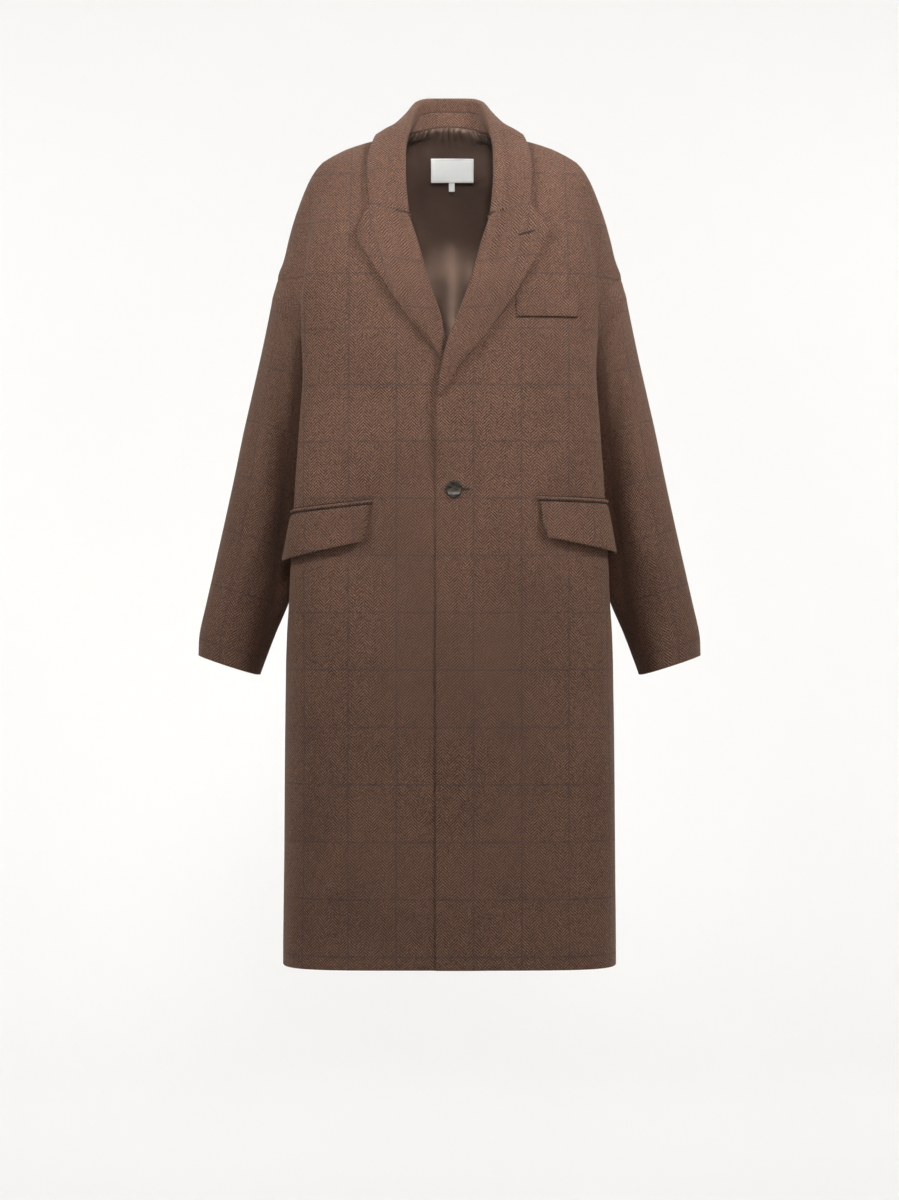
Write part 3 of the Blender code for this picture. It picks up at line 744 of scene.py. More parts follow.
    @classmethod
    @functools.lru_cache(maxsize=None)
    def tone(cls) -> bpy.types.NodeTree:
        """Slow changes of tone over a surface, from handling and pressing."""
        sketch, given, out = cls.start("tone", "Place", ("Scale",), ("Tone",))
        broad = sketch.noise(given["Place"], given["Scale"], 3.0, 0.55)
        sketch.feed(out, {"Tone": sketch.span(broad, 0.3, 0.7)})
        return sketch.tree


def blank_material(name: str) -> tuple[bpy.types.Material, Sketch, bpy.types.Node]:
    """Empty material with its shader.

    Args:
        name: Name of the material.

    Returns:
        The material, a sketch of its nodes and its Principled shader.
    """
    made = bpy.data.materials.new(name)
    made.use_nodes = True
    return made, Sketch(made.node_tree), made.node_tree.nodes["Principled BSDF"]


def new_object(name: str, bm: bmesh.types.BMesh) -> bpy.types.Object:
    """Object of a finished bmesh, in the scene.

    Args:
        name: Name of the object and its mesh.
        bm: The shape, freed here.

    Returns:
        The object.
    """
    mesh = bpy.data.meshes.new(name)
    bm.to_mesh(mesh)
    bm.free()
    made = bpy.data.objects.new(name, mesh)
    bpy.context.scene.collection.objects.link(made)
    return made


@dataclass(frozen=True)
class TweedFinish:
    """Brown wool herringbone with heathered flecks, a faint dark windowpane and painted shade in the twill's
    valleys.
    """

    name: str = "tweed"
    dark: Triple = (0.014, 0.006, 0.004)
    light: Triple = (0.260, 0.135, 0.089)
    fleck: Triple = (0.440, 0.280, 0.194)
    # Colour of the dark fibre flecks, and of the painted shade in the twill's valleys.
    speck_and_shade: Triple = (0.016, 0.008, 0.006)
    pane: Triple = (0.040, 0.034, 0.040)
    column: float = 0.0108
    pitch: float = 0.0042
    grain: float = 0.0013
    across: float = 0.065
    down: float = 0.0775
    line: float = 0.0020
    pane_share: float = 0.46
    yarn_share: float = 0.52
    fleck_share: float = 0.45
    # Strength of the painted shade in the twill's valleys.
    valley_shade_share: float = 0.66

    @functools.lru_cache(maxsize=None)
    def material(self) -> bpy.types.Material:
        """Material of the cloth, made once."""
        made, sketch, shader = blank_material(self.name)
        uv = sketch.uv()
        weave = sketch.group(Groups.herringbone(), {"UV": uv, "Column": self.column, "Pitch": self.pitch})
        heather = sketch.group(Groups.heather(), {"UV": uv, "Grain": self.grain})
        pane = sketch.group(
            Groups.windowpane(), {"UV": uv, "Across": self.across, "Down": self.down, "Line": self.line})
        tone = sketch.group(Groups.tone(), {"Place": sketch.place(), "Scale": 9.0})
        ribs = sketch.math("MULTIPLY", weave["Twill"], 1.0 - self.yarn_share)
        colour = sketch.mix(
            sketch.math("MULTIPLY_ADD", weave["Yarn"], self.yarn_share, ribs), self.dark, self.light)
        for fibres, tint in (("Light", self.fleck), ("Dark", self.speck_and_shade)):
            colour = sketch.mix(sketch.math("MULTIPLY", heather[fibres], self.fleck_share), colour, tint)
        # Painted shade: the valleys of the twill are darkened towards the speck colour, on top of the yarn
        # pattern.
        colour = sketch.mix(sketch.span(weave["Twill"], 0.0, 0.5, self.valley_shade_share, 0.0), colour, self.speck_and_shade)
        worn = sketch.span(sketch.noise(uv, 30.0), 0.35, 0.65, 0.45 * self.pane_share, self.pane_share)
        colour = sketch.mix(sketch.math("MULTIPLY", pane["Mask"], worn), colour, self.pane)
        shade = sketch.span(tone["Tone"], 0.0, 1.0, 0.93, 1.07)
        shaded = sketch.add("ShaderNodeVectorMath", {0: colour, "Scale": shade}, operation="SCALE")
        height = sketch.math("ADD", weave["Height"], sketch.math("MULTIPLY", heather["Fuzz"], 1.4))
        sketch.feed(shader, {
            "Base Color": shaded.outputs[0], "Roughness": sketch.span(heather["Fuzz"], 0.2, 0.8, 0.82, 0.96),
            "Normal": sketch.bump(height, 0.55, 0.0005), "Specular IOR Level": 0.25, "Sheen Weight": 0.18,
            "Sheen Roughness": 0.55, "Sheen Tint": (0.62, 0.42, 0.32, 1.0)})
        return made


@dataclass(frozen=True)
class SatinFinish:
    """Dark brown lining with a fine twill and a soft sheen down the cloth."""

    name: str = "satin"
    base: Triple = (0.060, 0.038, 0.029)
    worn: Triple = (0.085, 0.056, 0.044)

    @functools.lru_cache(maxsize=None)
    def material(self) -> bpy.types.Material:
        """Material of the lining, made once."""
        made, sketch, shader = blank_material(self.name)
        weave = sketch.group(Groups.herringbone(), {"UV": sketch.uv(), "Column": 3.0, "Pitch": 0.0007})
        tone = sketch.group(Groups.tone(), {"Place": sketch.place(), "Scale": 14.0})["Tone"]
        sketch.feed(shader, {
            "Base Color": sketch.mix(tone, self.base, self.worn),
            "Roughness": sketch.span(tone, 0.0, 1.0, 0.36, 0.44),
            "Normal": sketch.bump(weave["Height"], 0.12, 0.0002), "Specular IOR Level": 0.8,
            "Specular Tint": (1.0, 0.66, 0.50, 1.0), "Anisotropic": 0.45, "Sheen Weight": 0.15,
            "Sheen Tint": (0.70, 0.58, 0.50, 1.0)})
        return made


@dataclass(frozen=True)
class TapeFinish:
    """Plain white woven tape of the label and the tab."""

    name: str = "tape"
    base: Triple = (0.96, 0.96, 0.93)
    shade: Triple = (0.84, 0.84, 0.81)

    @functools.lru_cache(maxsize=None)
    def material(self) -> bpy.types.Material:
        """Material of the tape, made once."""
        made, sketch, shader = blank_material(self.name)
        weave = sketch.group(Groups.herringbone(), {"UV": sketch.uv(), "Column": 0.0012, "Pitch": 0.0009})
        colour = sketch.mix(weave["Twill"], self.base, self.shade)
        sketch.feed(shader, {
            "Base Color": sketch.mix(0.6, self.base, colour),
            "Roughness": sketch.span(weave["Twill"], 0.0, 1.0, 0.62, 0.78),
            "Normal": sketch.bump(weave["Height"], 0.35, 0.0002)})
        return made


@dataclass(frozen=True)
class HornFinish:
    """Polished dark horn with smoky streaks."""

    name: str = "horn"
    dark: Triple = (0.012, 0.010, 0.009)
    streak: Triple = (0.085, 0.070, 0.055)

    @functools.lru_cache(maxsize=None)
    def material(self) -> bpy.types.Material:
        """Material of the button, made once."""
        made, sketch, shader = blank_material(self.name)
        drawn = sketch.add("ShaderNodeMapping", {0: sketch.place(), "Scale": (1.0, 1.0, 3.0)}).outputs[0]
        tone = sketch.group(Groups.tone(), {"Place": drawn, "Scale": 90.0})["Tone"]
        sketch.feed(shader, {
            "Base Color": sketch.mix(tone, self.dark, self.streak),
            "Roughness": sketch.span(tone, 0.0, 1.0, 0.12, 0.24),
            "Specular IOR Level": 0.3, "Coat Weight": 0.12,
            "Coat Roughness": 0.10})
        return made


@dataclass(frozen=True)
class ThreadFinish:
    """Sewing thread, twisted from two strands."""

    name: str
    colour: Triple

    @functools.lru_cache(maxsize=None)
    def material(self) -> bpy.types.Material:
        """Material of the thread, made once."""
        made, sketch, shader = blank_material(self.name)
        twist = sketch.noise(sketch.place(), 2400.0, 1.0)
        darker = tuple(0.55 * part for part in self.colour)
        sketch.feed(shader, {
            "Base Color": sketch.mix(twist, darker, self.colour),
            "Roughness": sketch.span(twist, 0.2, 0.8, 0.55, 0.8),
            "Normal": sketch.bump(twist, 0.3, 0.0002)})
        return made


TWEED = TweedFinish()
SATIN = SatinFinish()
TAPE = TapeFinish()
HORN = HornFinish()
# Nearly black thread of the button and the buttonholes; also the colour of the pocket stitches that paint
# shadow lines.
DARK_THREAD = ThreadFinish("dark_thread", (0.018, 0.010, 0.008))
PALE_THREAD = ThreadFinish("pale_thread", (0.62, 0.60, 0.56))


@dataclass
class ClothPiece:
    """One sewn piece of cloth: its points, flat places and normals, and how it is cut and held."""

    name: str
    node: str
    grid: Grid
    cut: Pair
    area: float
    thickness: float = CLOTH
    finish: TweedFinish | SatinFinish | TapeFinish = TWEED
    inside: Optional[SatinFinish] = None
    hold: Hold = Hold.HUNG
    rests_on: tuple[str, ...] = ()
    turned: Optional[Callable[[np.ndarray], np.ndarray]] = None
    closed: bool = False
    edge: float = 0.0006

    def build(self) -> bpy.types.Object:
        """Make the piece, give it its thickness and finishes, and set it on the frame.

        Returns:
            The finished object.
        """
        points, flat, outward = self.grid
        across = points[:-1, 1:] - points[:-1, :-1]
        up = points[1:, :-1] - points[:-1, :-1]
        if float(np.sum(np.cross(across, up) * outward[:-1, :-1])) < 0.0:
            points, flat = points[:, ::-1], flat[:, ::-1]
        rows, columns = points.shape[:2]
        bm = bmesh.new()
        bmesh.ops.create_grid(bm, x_segments=columns - 1, y_segments=rows - 1, size=0.5)
        bm.verts.ensure_lookup_table()
        for vert, co in zip(bm.verts, points.reshape(-1, 3)):
            vert.co = co
        layer = bm.loops.layers.uv.new(UV_NAME)
        places = flat.reshape(-1, 2)
        chosen = self.turned(flat).reshape(-1) if self.turned else np.zeros(len(places), bool)
        for face in bm.faces:
            face.smooth = True
            face.material_index = 2 if all(chosen[vert.index] for vert in face.verts) else 0
            for loop in face.loops:
                loop[layer].uv = places[loop.vert.index]
        if self.closed:
            bmesh.ops.remove_doubles(bm, verts=bm.verts, dist=1e-6)
        made = new_object(self.name, bm)
        self.dress(made)
        return made

    def dress(self, made: bpy.types.Object) -> None:
        """Give the piece its wall, soft edge, materials and place in the frame.

        Args:
            made: The bare object of the piece.
        """
        outer = self.finish.material()
        inner = self.inside.material() if self.inside else outer
        for finish in (outer, inner, outer, outer):
            made.data.materials.append(finish)
        wall = made.modifiers.new("wall", "SOLIDIFY")
        wall.thickness = self.thickness
        wall.offset = -1.0
        wall.material_offset = 1
        wall.use_even_offset = False
        if self.edge:
            soft = made.modifiers.new("edge", "BEVEL")
            soft.width = self.edge
            soft.segments = 2
            soft.limit_method = "ANGLE"
            soft.angle_limit = math.radians(50.0)
        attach(made, "root")
        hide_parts(self.node)
        log.info("%s: %d points", self.name, len(made.data.vertices))


def arc_lengths(points: np.ndarray, axis: int) -> np.ndarray:
    """Running length along one axis of a grid of points.

    Args:
        points: Points by row and column.
        axis: Axis to run along.

    Returns:
        Length from the start of the axis to each point.
    """
    steps = np.linalg.norm(np.diff(points, axis=axis), axis=2)
    pad = [(0, 0), (0, 0)]
    pad[axis] = (1, 0)
    return np.pad(np.cumsum(steps, axis=axis), pad)


@dataclass
class BodyPanels:
    """Fronts, back and back lining, hung from the shoulders to the hem."""

    front_columns: int = 64
    back_columns: int = 110
    lining_columns: int = 150
    give_from: float = 0.45
    crease_fade: float = 0.05
    edge_reach: float = 0.002
    lap_lift: float = 0.0026
    lap_z: float = -0.39
    lap_height: float = 0.06
    lap_width: float = 0.02
    facing: float = 0.085
    hem_turn: float = 0.045
    pane_level: float = -0.4712
    front_shift: dict[Side, float] = field(default_factory=lambda: {Side.LEFT: 0.0325, Side.RIGHT: 0.0070})
    front_creases: dict[Side, tuple[Crease, ...]] = field(default_factory=lambda: {
        Side.LEFT: folds(
            (0.185, -0.045, 0.225, -0.310, 0.009, 0.0042),
            (0.150, -0.120, 0.205, -0.330, 0.014, -0.0016),
            (0.120, -0.330, 0.150, -0.620, 0.030, -0.0020),
            (0.060, -0.520, 0.075, -1.100, 0.032, 0.0022),
            (0.160, -0.600, 0.150, -1.160, 0.034, -0.0026),
            (0.225, -0.620, 0.235, -1.150, 0.030, 0.0030),
            (0.010, -0.480, 0.120, -0.600, 0.020, 0.0010),
        ),
        Side.RIGHT: folds(
            (0.185, -0.040, 0.222, -0.315, 0.009, 0.0044),
            (0.145, -0.130, 0.200, -0.350, 0.014, -0.0018),
            (0.105, -0.340, 0.130, -0.640, 0.030, -0.0018),
            (0.080, -0.560, 0.070, -1.140, 0.034, -0.0026),
            (0.140, -0.600, 0.150, -1.150, 0.030, 0.0026),
            (0.215, -0.640, 0.220, -1.160, 0.030, -0.0024),
            (0.020, -0.500, 0.110, -0.640, 0.022, 0.0010),
        ),
    })
    back_creases: tuple[Crease, ...] = folds(
        (-0.150, -0.040, -0.215, -0.330, 0.014, 0.0034),
        (0.155, -0.045, 0.212, -0.350, 0.014, 0.0030),
        (-0.090, -0.140, -0.160, -0.420, 0.022, -0.0024),
        (0.100, -0.150, 0.170, -0.400, 0.022, -0.0022),
        (0.020, -0.300, 0.010, -0.860, 0.036, -0.0024),
        (-0.120, -0.480, -0.110, -1.150, 0.034, 0.0034),
        (0.110, -0.520, 0.130, -1.150, 0.036, 0.0032),
        (-0.210, -0.560, -0.225, -1.150, 0.030, -0.0030),
        (0.215, -0.560, 0.220, -1.150, 0.030, -0.0028),
        (-0.040, -0.640, -0.030, -1.150, 0.028, -0.0022),
        (0.060, -0.700, 0.050, -1.150, 0.026, 0.0018),
    )
    lining_creases: tuple[Crease, ...] = folds(
        (0.002, -0.030, 0.006, -0.440, 0.015, -0.0050),
        (-0.026, -0.060, -0.030, -0.440, 0.012, 0.0024),
        (0.030, -0.055, 0.036, -0.440, 0.012, 0.0030),
        (0.026, 0.018, 0.054, 0.050, 0.0032, -0.0050),
        (-0.050, 0.030, -0.020, 0.000, 0.006, -0.0022),
        (0.030, -0.014, 0.074, 0.000, 0.006, -0.0050),
        (-0.060, -0.020, -0.034, -0.160, 0.012, -0.0030),
        (0.070, -0.040, 0.050, -0.200, 0.012, -0.0030),
    )
    lining_low_z: float = -0.455
    lining_reach: float = 0.93
    lining_air: float = 0.0022
    gather: float = 0.0022
    gather_z: float = 0.040
    gather_reach: float = 0.007
    billow: float = 0.018
    billow_reach: float = 0.10

    def down(self, heights: Sequence[float], face: Face) -> np.ndarray:
        """Length of cloth at each row, equal to the height at the level of one pane line.

        Args:
            heights: Heights of the rows.
            face: Front or back.

        Returns:
            Lengths, falling down the panel.
        """
        depth = [FORM.sections.at(z, "front" if face is Face.FRONT else "back") for z in heights]
        width = [FORM.sections.at(z, "box") for z in heights]
        steps = np.sqrt(np.diff(heights) ** 2 + np.diff(depth) ** 2 + 0.3 * np.diff(width) ** 2)
        length = -np.concatenate(([0.0], np.cumsum(steps)))
        level = np.interp(-self.pane_level, -np.array(heights), length)
        return length - level

    def near_seam(self, share: np.ndarray) -> np.ndarray:
        """How far a column gives way to the armhole: not at all in the panel's middle, fully at its seam."""
        return ease((share - self.give_from) / (1.0 - self.give_from))

    def front(self, side: Side) -> ClothPiece:
        """One front from the shoulder to the hem.

        Args:
            side: The wearer's side.

        Returns:
            The piece, ready to build.
        """
        heights = FORM.heights(FORM.front_top_z)
        drops = self.down(heights, Face.FRONT)
        share = np.linspace(0.0, 1.0, self.front_columns)
        shift = self.front_shift[side]
        rows = []
        for z, drop in zip(heights, drops):
            start = FORM.edge_distance(z)
            full = FORM.half_length(z, Face.FRONT)
            bite = full - FORM.at_depth(z, FORM.seam_depth(z), Face.FRONT)
            past = (full - start) * share - bite * self.near_seam(share)
            distance = start + past
            lift = creased(self.front_creases[side], distance, np.full_like(distance, z))
            lift *= ease(past / self.crease_fade)
            lift -= SEAM_DIP * (hump(distance[-1] - distance, SEAM_REACH) + hump(past, self.edge_reach))
            if side is Side.LEFT:
                lift += self.lap_lift * hump(z - self.lap_z, self.lap_height) * hump(past, self.lap_width)
            point, normal = FORM.on_body(z, distance, side, lift)
            rows.append((point, np.stack([distance - shift, np.full_like(distance, drop)], axis=1), normal))
        return ClothPiece(
            f"coat_front_{side.word}", f"front_{side.word}", stacked(rows), (0.38, 1.18), 0.355, inside=SATIN,
            turned=functools.partial(self.front_facing, shift, float(drops[-1])))

    def front_facing(self, shift: float, hem: float, flat: np.ndarray) -> np.ndarray:
        """Which places of a front have wool on their inside: the facing and the turned-up hem."""
        return (flat[..., 0] + shift < self.facing) | (flat[..., 1] < hem + self.hem_turn)

    def back_grid(self, low: float, reach: float, creases: Sequence[Crease], lift_by: float,
                  columns: int) -> Grid:
        """Grid of points over the back.

        Args:
            low: Height of the lowest row.
            reach: Share of the way from the centre back to the seams.
            creases: Folds, across from the centre back and up.
            lift_by: How far the grid is moved out.
            columns: Points in a row.

        Returns:
            Points, flat places and normals.
        """
        heights = [z for z in FORM.heights(FORM.neck_z) if z >= low - 1e-6]
        drops = self.down(heights, Face.BACK) if low < self.pane_level else np.array(heights)
        share = np.linspace(-1.0, 1.0, columns) * reach
        rows = []
        for z, drop in zip(heights, drops):
            total = FORM.total(z)
            full = FORM.half_length(z, Face.BACK)
            bite = full - (total - FORM.at_depth(z, FORM.seam_depth(z), Face.BACK))
            away = full * np.abs(share) - bite * self.near_seam(np.abs(share))
            across = np.sign(share) * away
            lift = creased(creases, across, np.full_like(across, z)) + lift_by
            lift -= SEAM_DIP * hump(full - bite - away, SEAM_REACH)
            both = zip(*(FORM.on_body(z, total - away, side, lift) for side in (Side.LEFT, Side.RIGHT)))
            point, normal = (np.where(share[:, None] > 0.0, left, right) for left, right in both)
            rows.append((point, np.stack([across, np.full_like(across, drop)], axis=1), normal))
        return stacked(rows)

    def back(self) -> ClothPiece:
        """The back, one piece from seam to seam."""
        grid = self.back_grid(FORM.hem_z, 1.0, self.back_creases, 0.0, self.back_columns)
        hem = float(grid[1][-1, 0, 1])
        return ClothPiece(
            "coat_back", "back", grid, (0.74, 1.19), 0.72, inside=SATIN,
            turned=lambda places: places[..., 1] < hem + self.hem_turn)

    def lining(self) -> ClothPiece:
        """Lining inside the back, eased into the neck seam and folded down the centre."""
        points, flat, outward = self.back_grid(
            self.lining_low_z, self.lining_reach, self.lining_creases, -(CLOTH + AIR + self.lining_air),
            self.lining_columns)
        across, heights = flat[..., 0], flat[..., 1]
        ripple = np.sin(across * 620.0 + 1.7 * np.sin(across * 140.0)) + 0.6
        gathers = self.gather * ripple * hump(heights - self.gather_z, self.gather_reach)
        billow = ease((-0.07 - heights) / 0.20) * (1.0 - ease((-0.33 - heights) / 0.12))
        billow = self.billow * billow * hump(across, self.billow_reach)
        points = points - outward * (gathers + billow)[..., None]
        return ClothPiece(
            "back_lining", "lining_back", (points, flat, outward), (0.66, 0.53), 0.27, THIN, SATIN,
            rests_on=("coat_back",), edge=0.0)

    def build(self) -> list[bpy.types.Object]:
        """Make the panels."""
        pieces = [self.front(Side.LEFT), self.front(Side.RIGHT), self.back(), self.lining()]
        return [piece.build() for piece in pieces]


@dataclass
class Sleeves:
    """Two wide sleeves set into the dropped armholes."""

    columns: int = 97
    rows: int = 104
    square: float = 2.2
    twist: float = 0.3
    hem_turn: float = 0.040
    spare: float = 0.006
    tuck: float = 0.0011
    tuck_shares: tuple[float, ...] = (0.0, 0.35, 0.7)
    cap_rows: int = 10
    rings: Table = field(default_factory=lambda: Table("t outer_x outer_z inner_x inner_z depth shift egg", [
        (0.05, 0.2460, -0.182, 0.1770, -0.336, 0.0725, 0.000, 0.25),
        (0.15, 0.2560, -0.232, 0.1790, -0.366, 0.0715, 0.000, 0.22),
        (0.27, 0.2680, -0.288, 0.1820, -0.402, 0.0690, 0.000, 0.18),
        (0.42, 0.2850, -0.362, 0.1880, -0.455, 0.0650, -0.002, 0.12),
        (0.60, 0.3030, -0.450, 0.1990, -0.525, 0.0610, -0.005, 0.06),
        (0.77, 0.3220, -0.537, 0.2170, -0.598, 0.0570, -0.008, 0.00),
        (0.89, 0.3390, -0.613, 0.2390, -0.658, 0.0530, -0.011, 0.00),
        (0.95, 0.3485, -0.656, 0.2500, -0.688, 0.0515, -0.012, 0.00),
        (1.00, 0.3500, -0.686, 0.2600, -0.715, 0.0500, -0.013, 0.00),
    ]))
    stations: tuple[float, ...] = (0.05, 0.10, 0.16, 0.24, 0.34, 0.45, 0.57, 0.69, 0.80, 0.89, 0.95, 1.00)
    creases: dict[Side, tuple[Crease, ...]] = field(default_factory=lambda: {
        Side.LEFT: folds(
            (0.150, -0.02, 0.150, -0.560, 0.034, -0.0220),
            (0.085, -0.02, 0.145, -0.300, 0.012, -0.0036),
            (0.060, -0.05, 0.110, -0.360, 0.012, 0.0026),
            (0.120, -0.16, 0.060, -0.330, 0.012, -0.0026),
            (0.150, -0.22, 0.090, -0.400, 0.010, -0.0022),
            (0.050, -0.28, 0.095, -0.520, 0.014, 0.0022),
            (0.300, -0.10, 0.260, -0.420, 0.016, -0.0034),
            (0.340, -0.06, 0.330, -0.480, 0.016, 0.0030),
            (0.270, -0.24, 0.330, -0.380, 0.012, -0.0026),
        ),
        Side.RIGHT: folds(
            (0.150, -0.02, 0.150, -0.560, 0.033, -0.0210),
            (0.090, -0.02, 0.140, -0.320, 0.012, -0.0034),
            (0.062, -0.06, 0.105, -0.340, 0.012, 0.0028),
            (0.125, -0.18, 0.065, -0.320, 0.012, -0.0022),
            (0.150, -0.25, 0.085, -0.410, 0.011, -0.0026),
            (0.040, -0.30, 0.090, -0.530, 0.014, 0.0020),
            (0.300, -0.08, 0.265, -0.400, 0.016, -0.0032),
            (0.345, -0.07, 0.325, -0.470, 0.016, 0.0032),
            (0.265, -0.26, 0.335, -0.400, 0.012, -0.0026),
        ),
    })

    def armhole(self, side: Side, spare: float, sink: float) -> np.ndarray:
        """Ring of points along the armhole.

        Args:
            side: The wearer's side.
            spare: How far the ring reaches past the seam, under the body.
            sink: How far it lies under the body's cloth.

        Returns:
            One point a column.
        """
        made = []
        for angle in np.linspace(0.0, 2.0 * np.pi, self.columns):
            z = FORM.arm_middle + (FORM.arm_half - ARM_SEAM + spare) * math.cos(angle)
            depth = (FORM.arm_half_depth - ARM_SEAM + spare) * math.sin(angle)
            place = FORM.at_depth(z, abs(depth), Face.FRONT if depth > 0.0 else Face.BACK)
            made.append(FORM.spot(z, place, side, 0.5 * ARM_SEAM * (1.0 - math.cos(angle)) - sink)[0])
        return np.array(made)

    def knots(self, side: Side) -> np.ndarray:
        """Rings of a sleeve, the first of them on the armhole.

        Args:
            side: The wearer's side.

        Returns:
            Points by ring and column.
        """
        angles = np.linspace(0.0, 2.0 * np.pi, self.columns)
        angles = angles - self.twist * np.sin(angles)
        across = signed_power(np.cos(angles), 2.0 / self.square)
        rings = [self.armhole(side, 0.0, 0.0)]
        for t in self.stations:
            read = functools.partial(self.rings.at, t)
            share = 0.5 + 0.5 * across
            x, z = (between(read("inner_" + axis), read("outer_" + axis), share) for axis in "xz")
            deep = read("depth") * signed_power(np.sin(angles), 2.0 / self.square)
            deep = deep * (1.0 - read("egg") * np.maximum(-across, 0.0))
            rings.append(np.stack([side.value * x, read("shift") - deep, z], axis=1))
        return np.array(rings)

    def sleeve(self, side: Side) -> ClothPiece:
        """One sleeve from the armhole to the cuff.

        Args:
            side: The wearer's side.

        Returns:
            The piece, ready to build.
        """
        cap = self.stations[0]
        wanted = np.concatenate([
            np.linspace(0.0, cap, self.cap_rows)[:-1], np.linspace(cap, 1.0, self.rows + 1 - self.cap_rows)])
        points = smooth_through(self.knots(side), (0.0,) + self.stations, wanted)
        under = self.armhole(side, self.spare, CLOTH + self.tuck)
        tucked = [between(under, points[0], share) for share in self.tuck_shares]
        points = np.concatenate([np.array(tucked), points])
        wanted = np.concatenate([np.zeros(len(tucked)), wanted])
        past = arc_lengths(points, 0)
        down = past[-1] - past - np.mean(past[-1])
        around = arc_lengths(points, 1)
        ahead = np.roll(points[:, :-1], -1, axis=1) - np.roll(points[:, :-1], 1, axis=1)
        normals = unit(np.cross(ahead, np.gradient(points, axis=0)[:, :-1])) * side.value
        normals = np.concatenate([normals, normals[:, :1]], axis=1)
        lift = creased(self.creases[side], around, down) * ease((wanted - 0.02) / 0.12)[:, None]
        lift[:, -1] = lift[:, 0]
        past = past - past[len(tucked)]
        lift -= np.where(past < 0.0, 0.0, SEAM_DIP * hump(past, SEAM_REACH))
        points = points + normals * lift[..., None]
        points[:, -1] = points[:, 0]
        hem = float(np.mean(down[-1]))
        return ClothPiece(
            f"coat_sleeve_{side.word}", f"sleeve_{side.word}",
            (points, np.stack([around, down], axis=2), normals), (0.43, 0.56), 0.17, inside=SATIN,
            closed=True, turned=lambda places: places[..., 1] < hem + self.hem_turn)

    def build(self) -> list[bpy.types.Object]:
        """Make both sleeves."""
        return [self.sleeve(side).build() for side in Side]


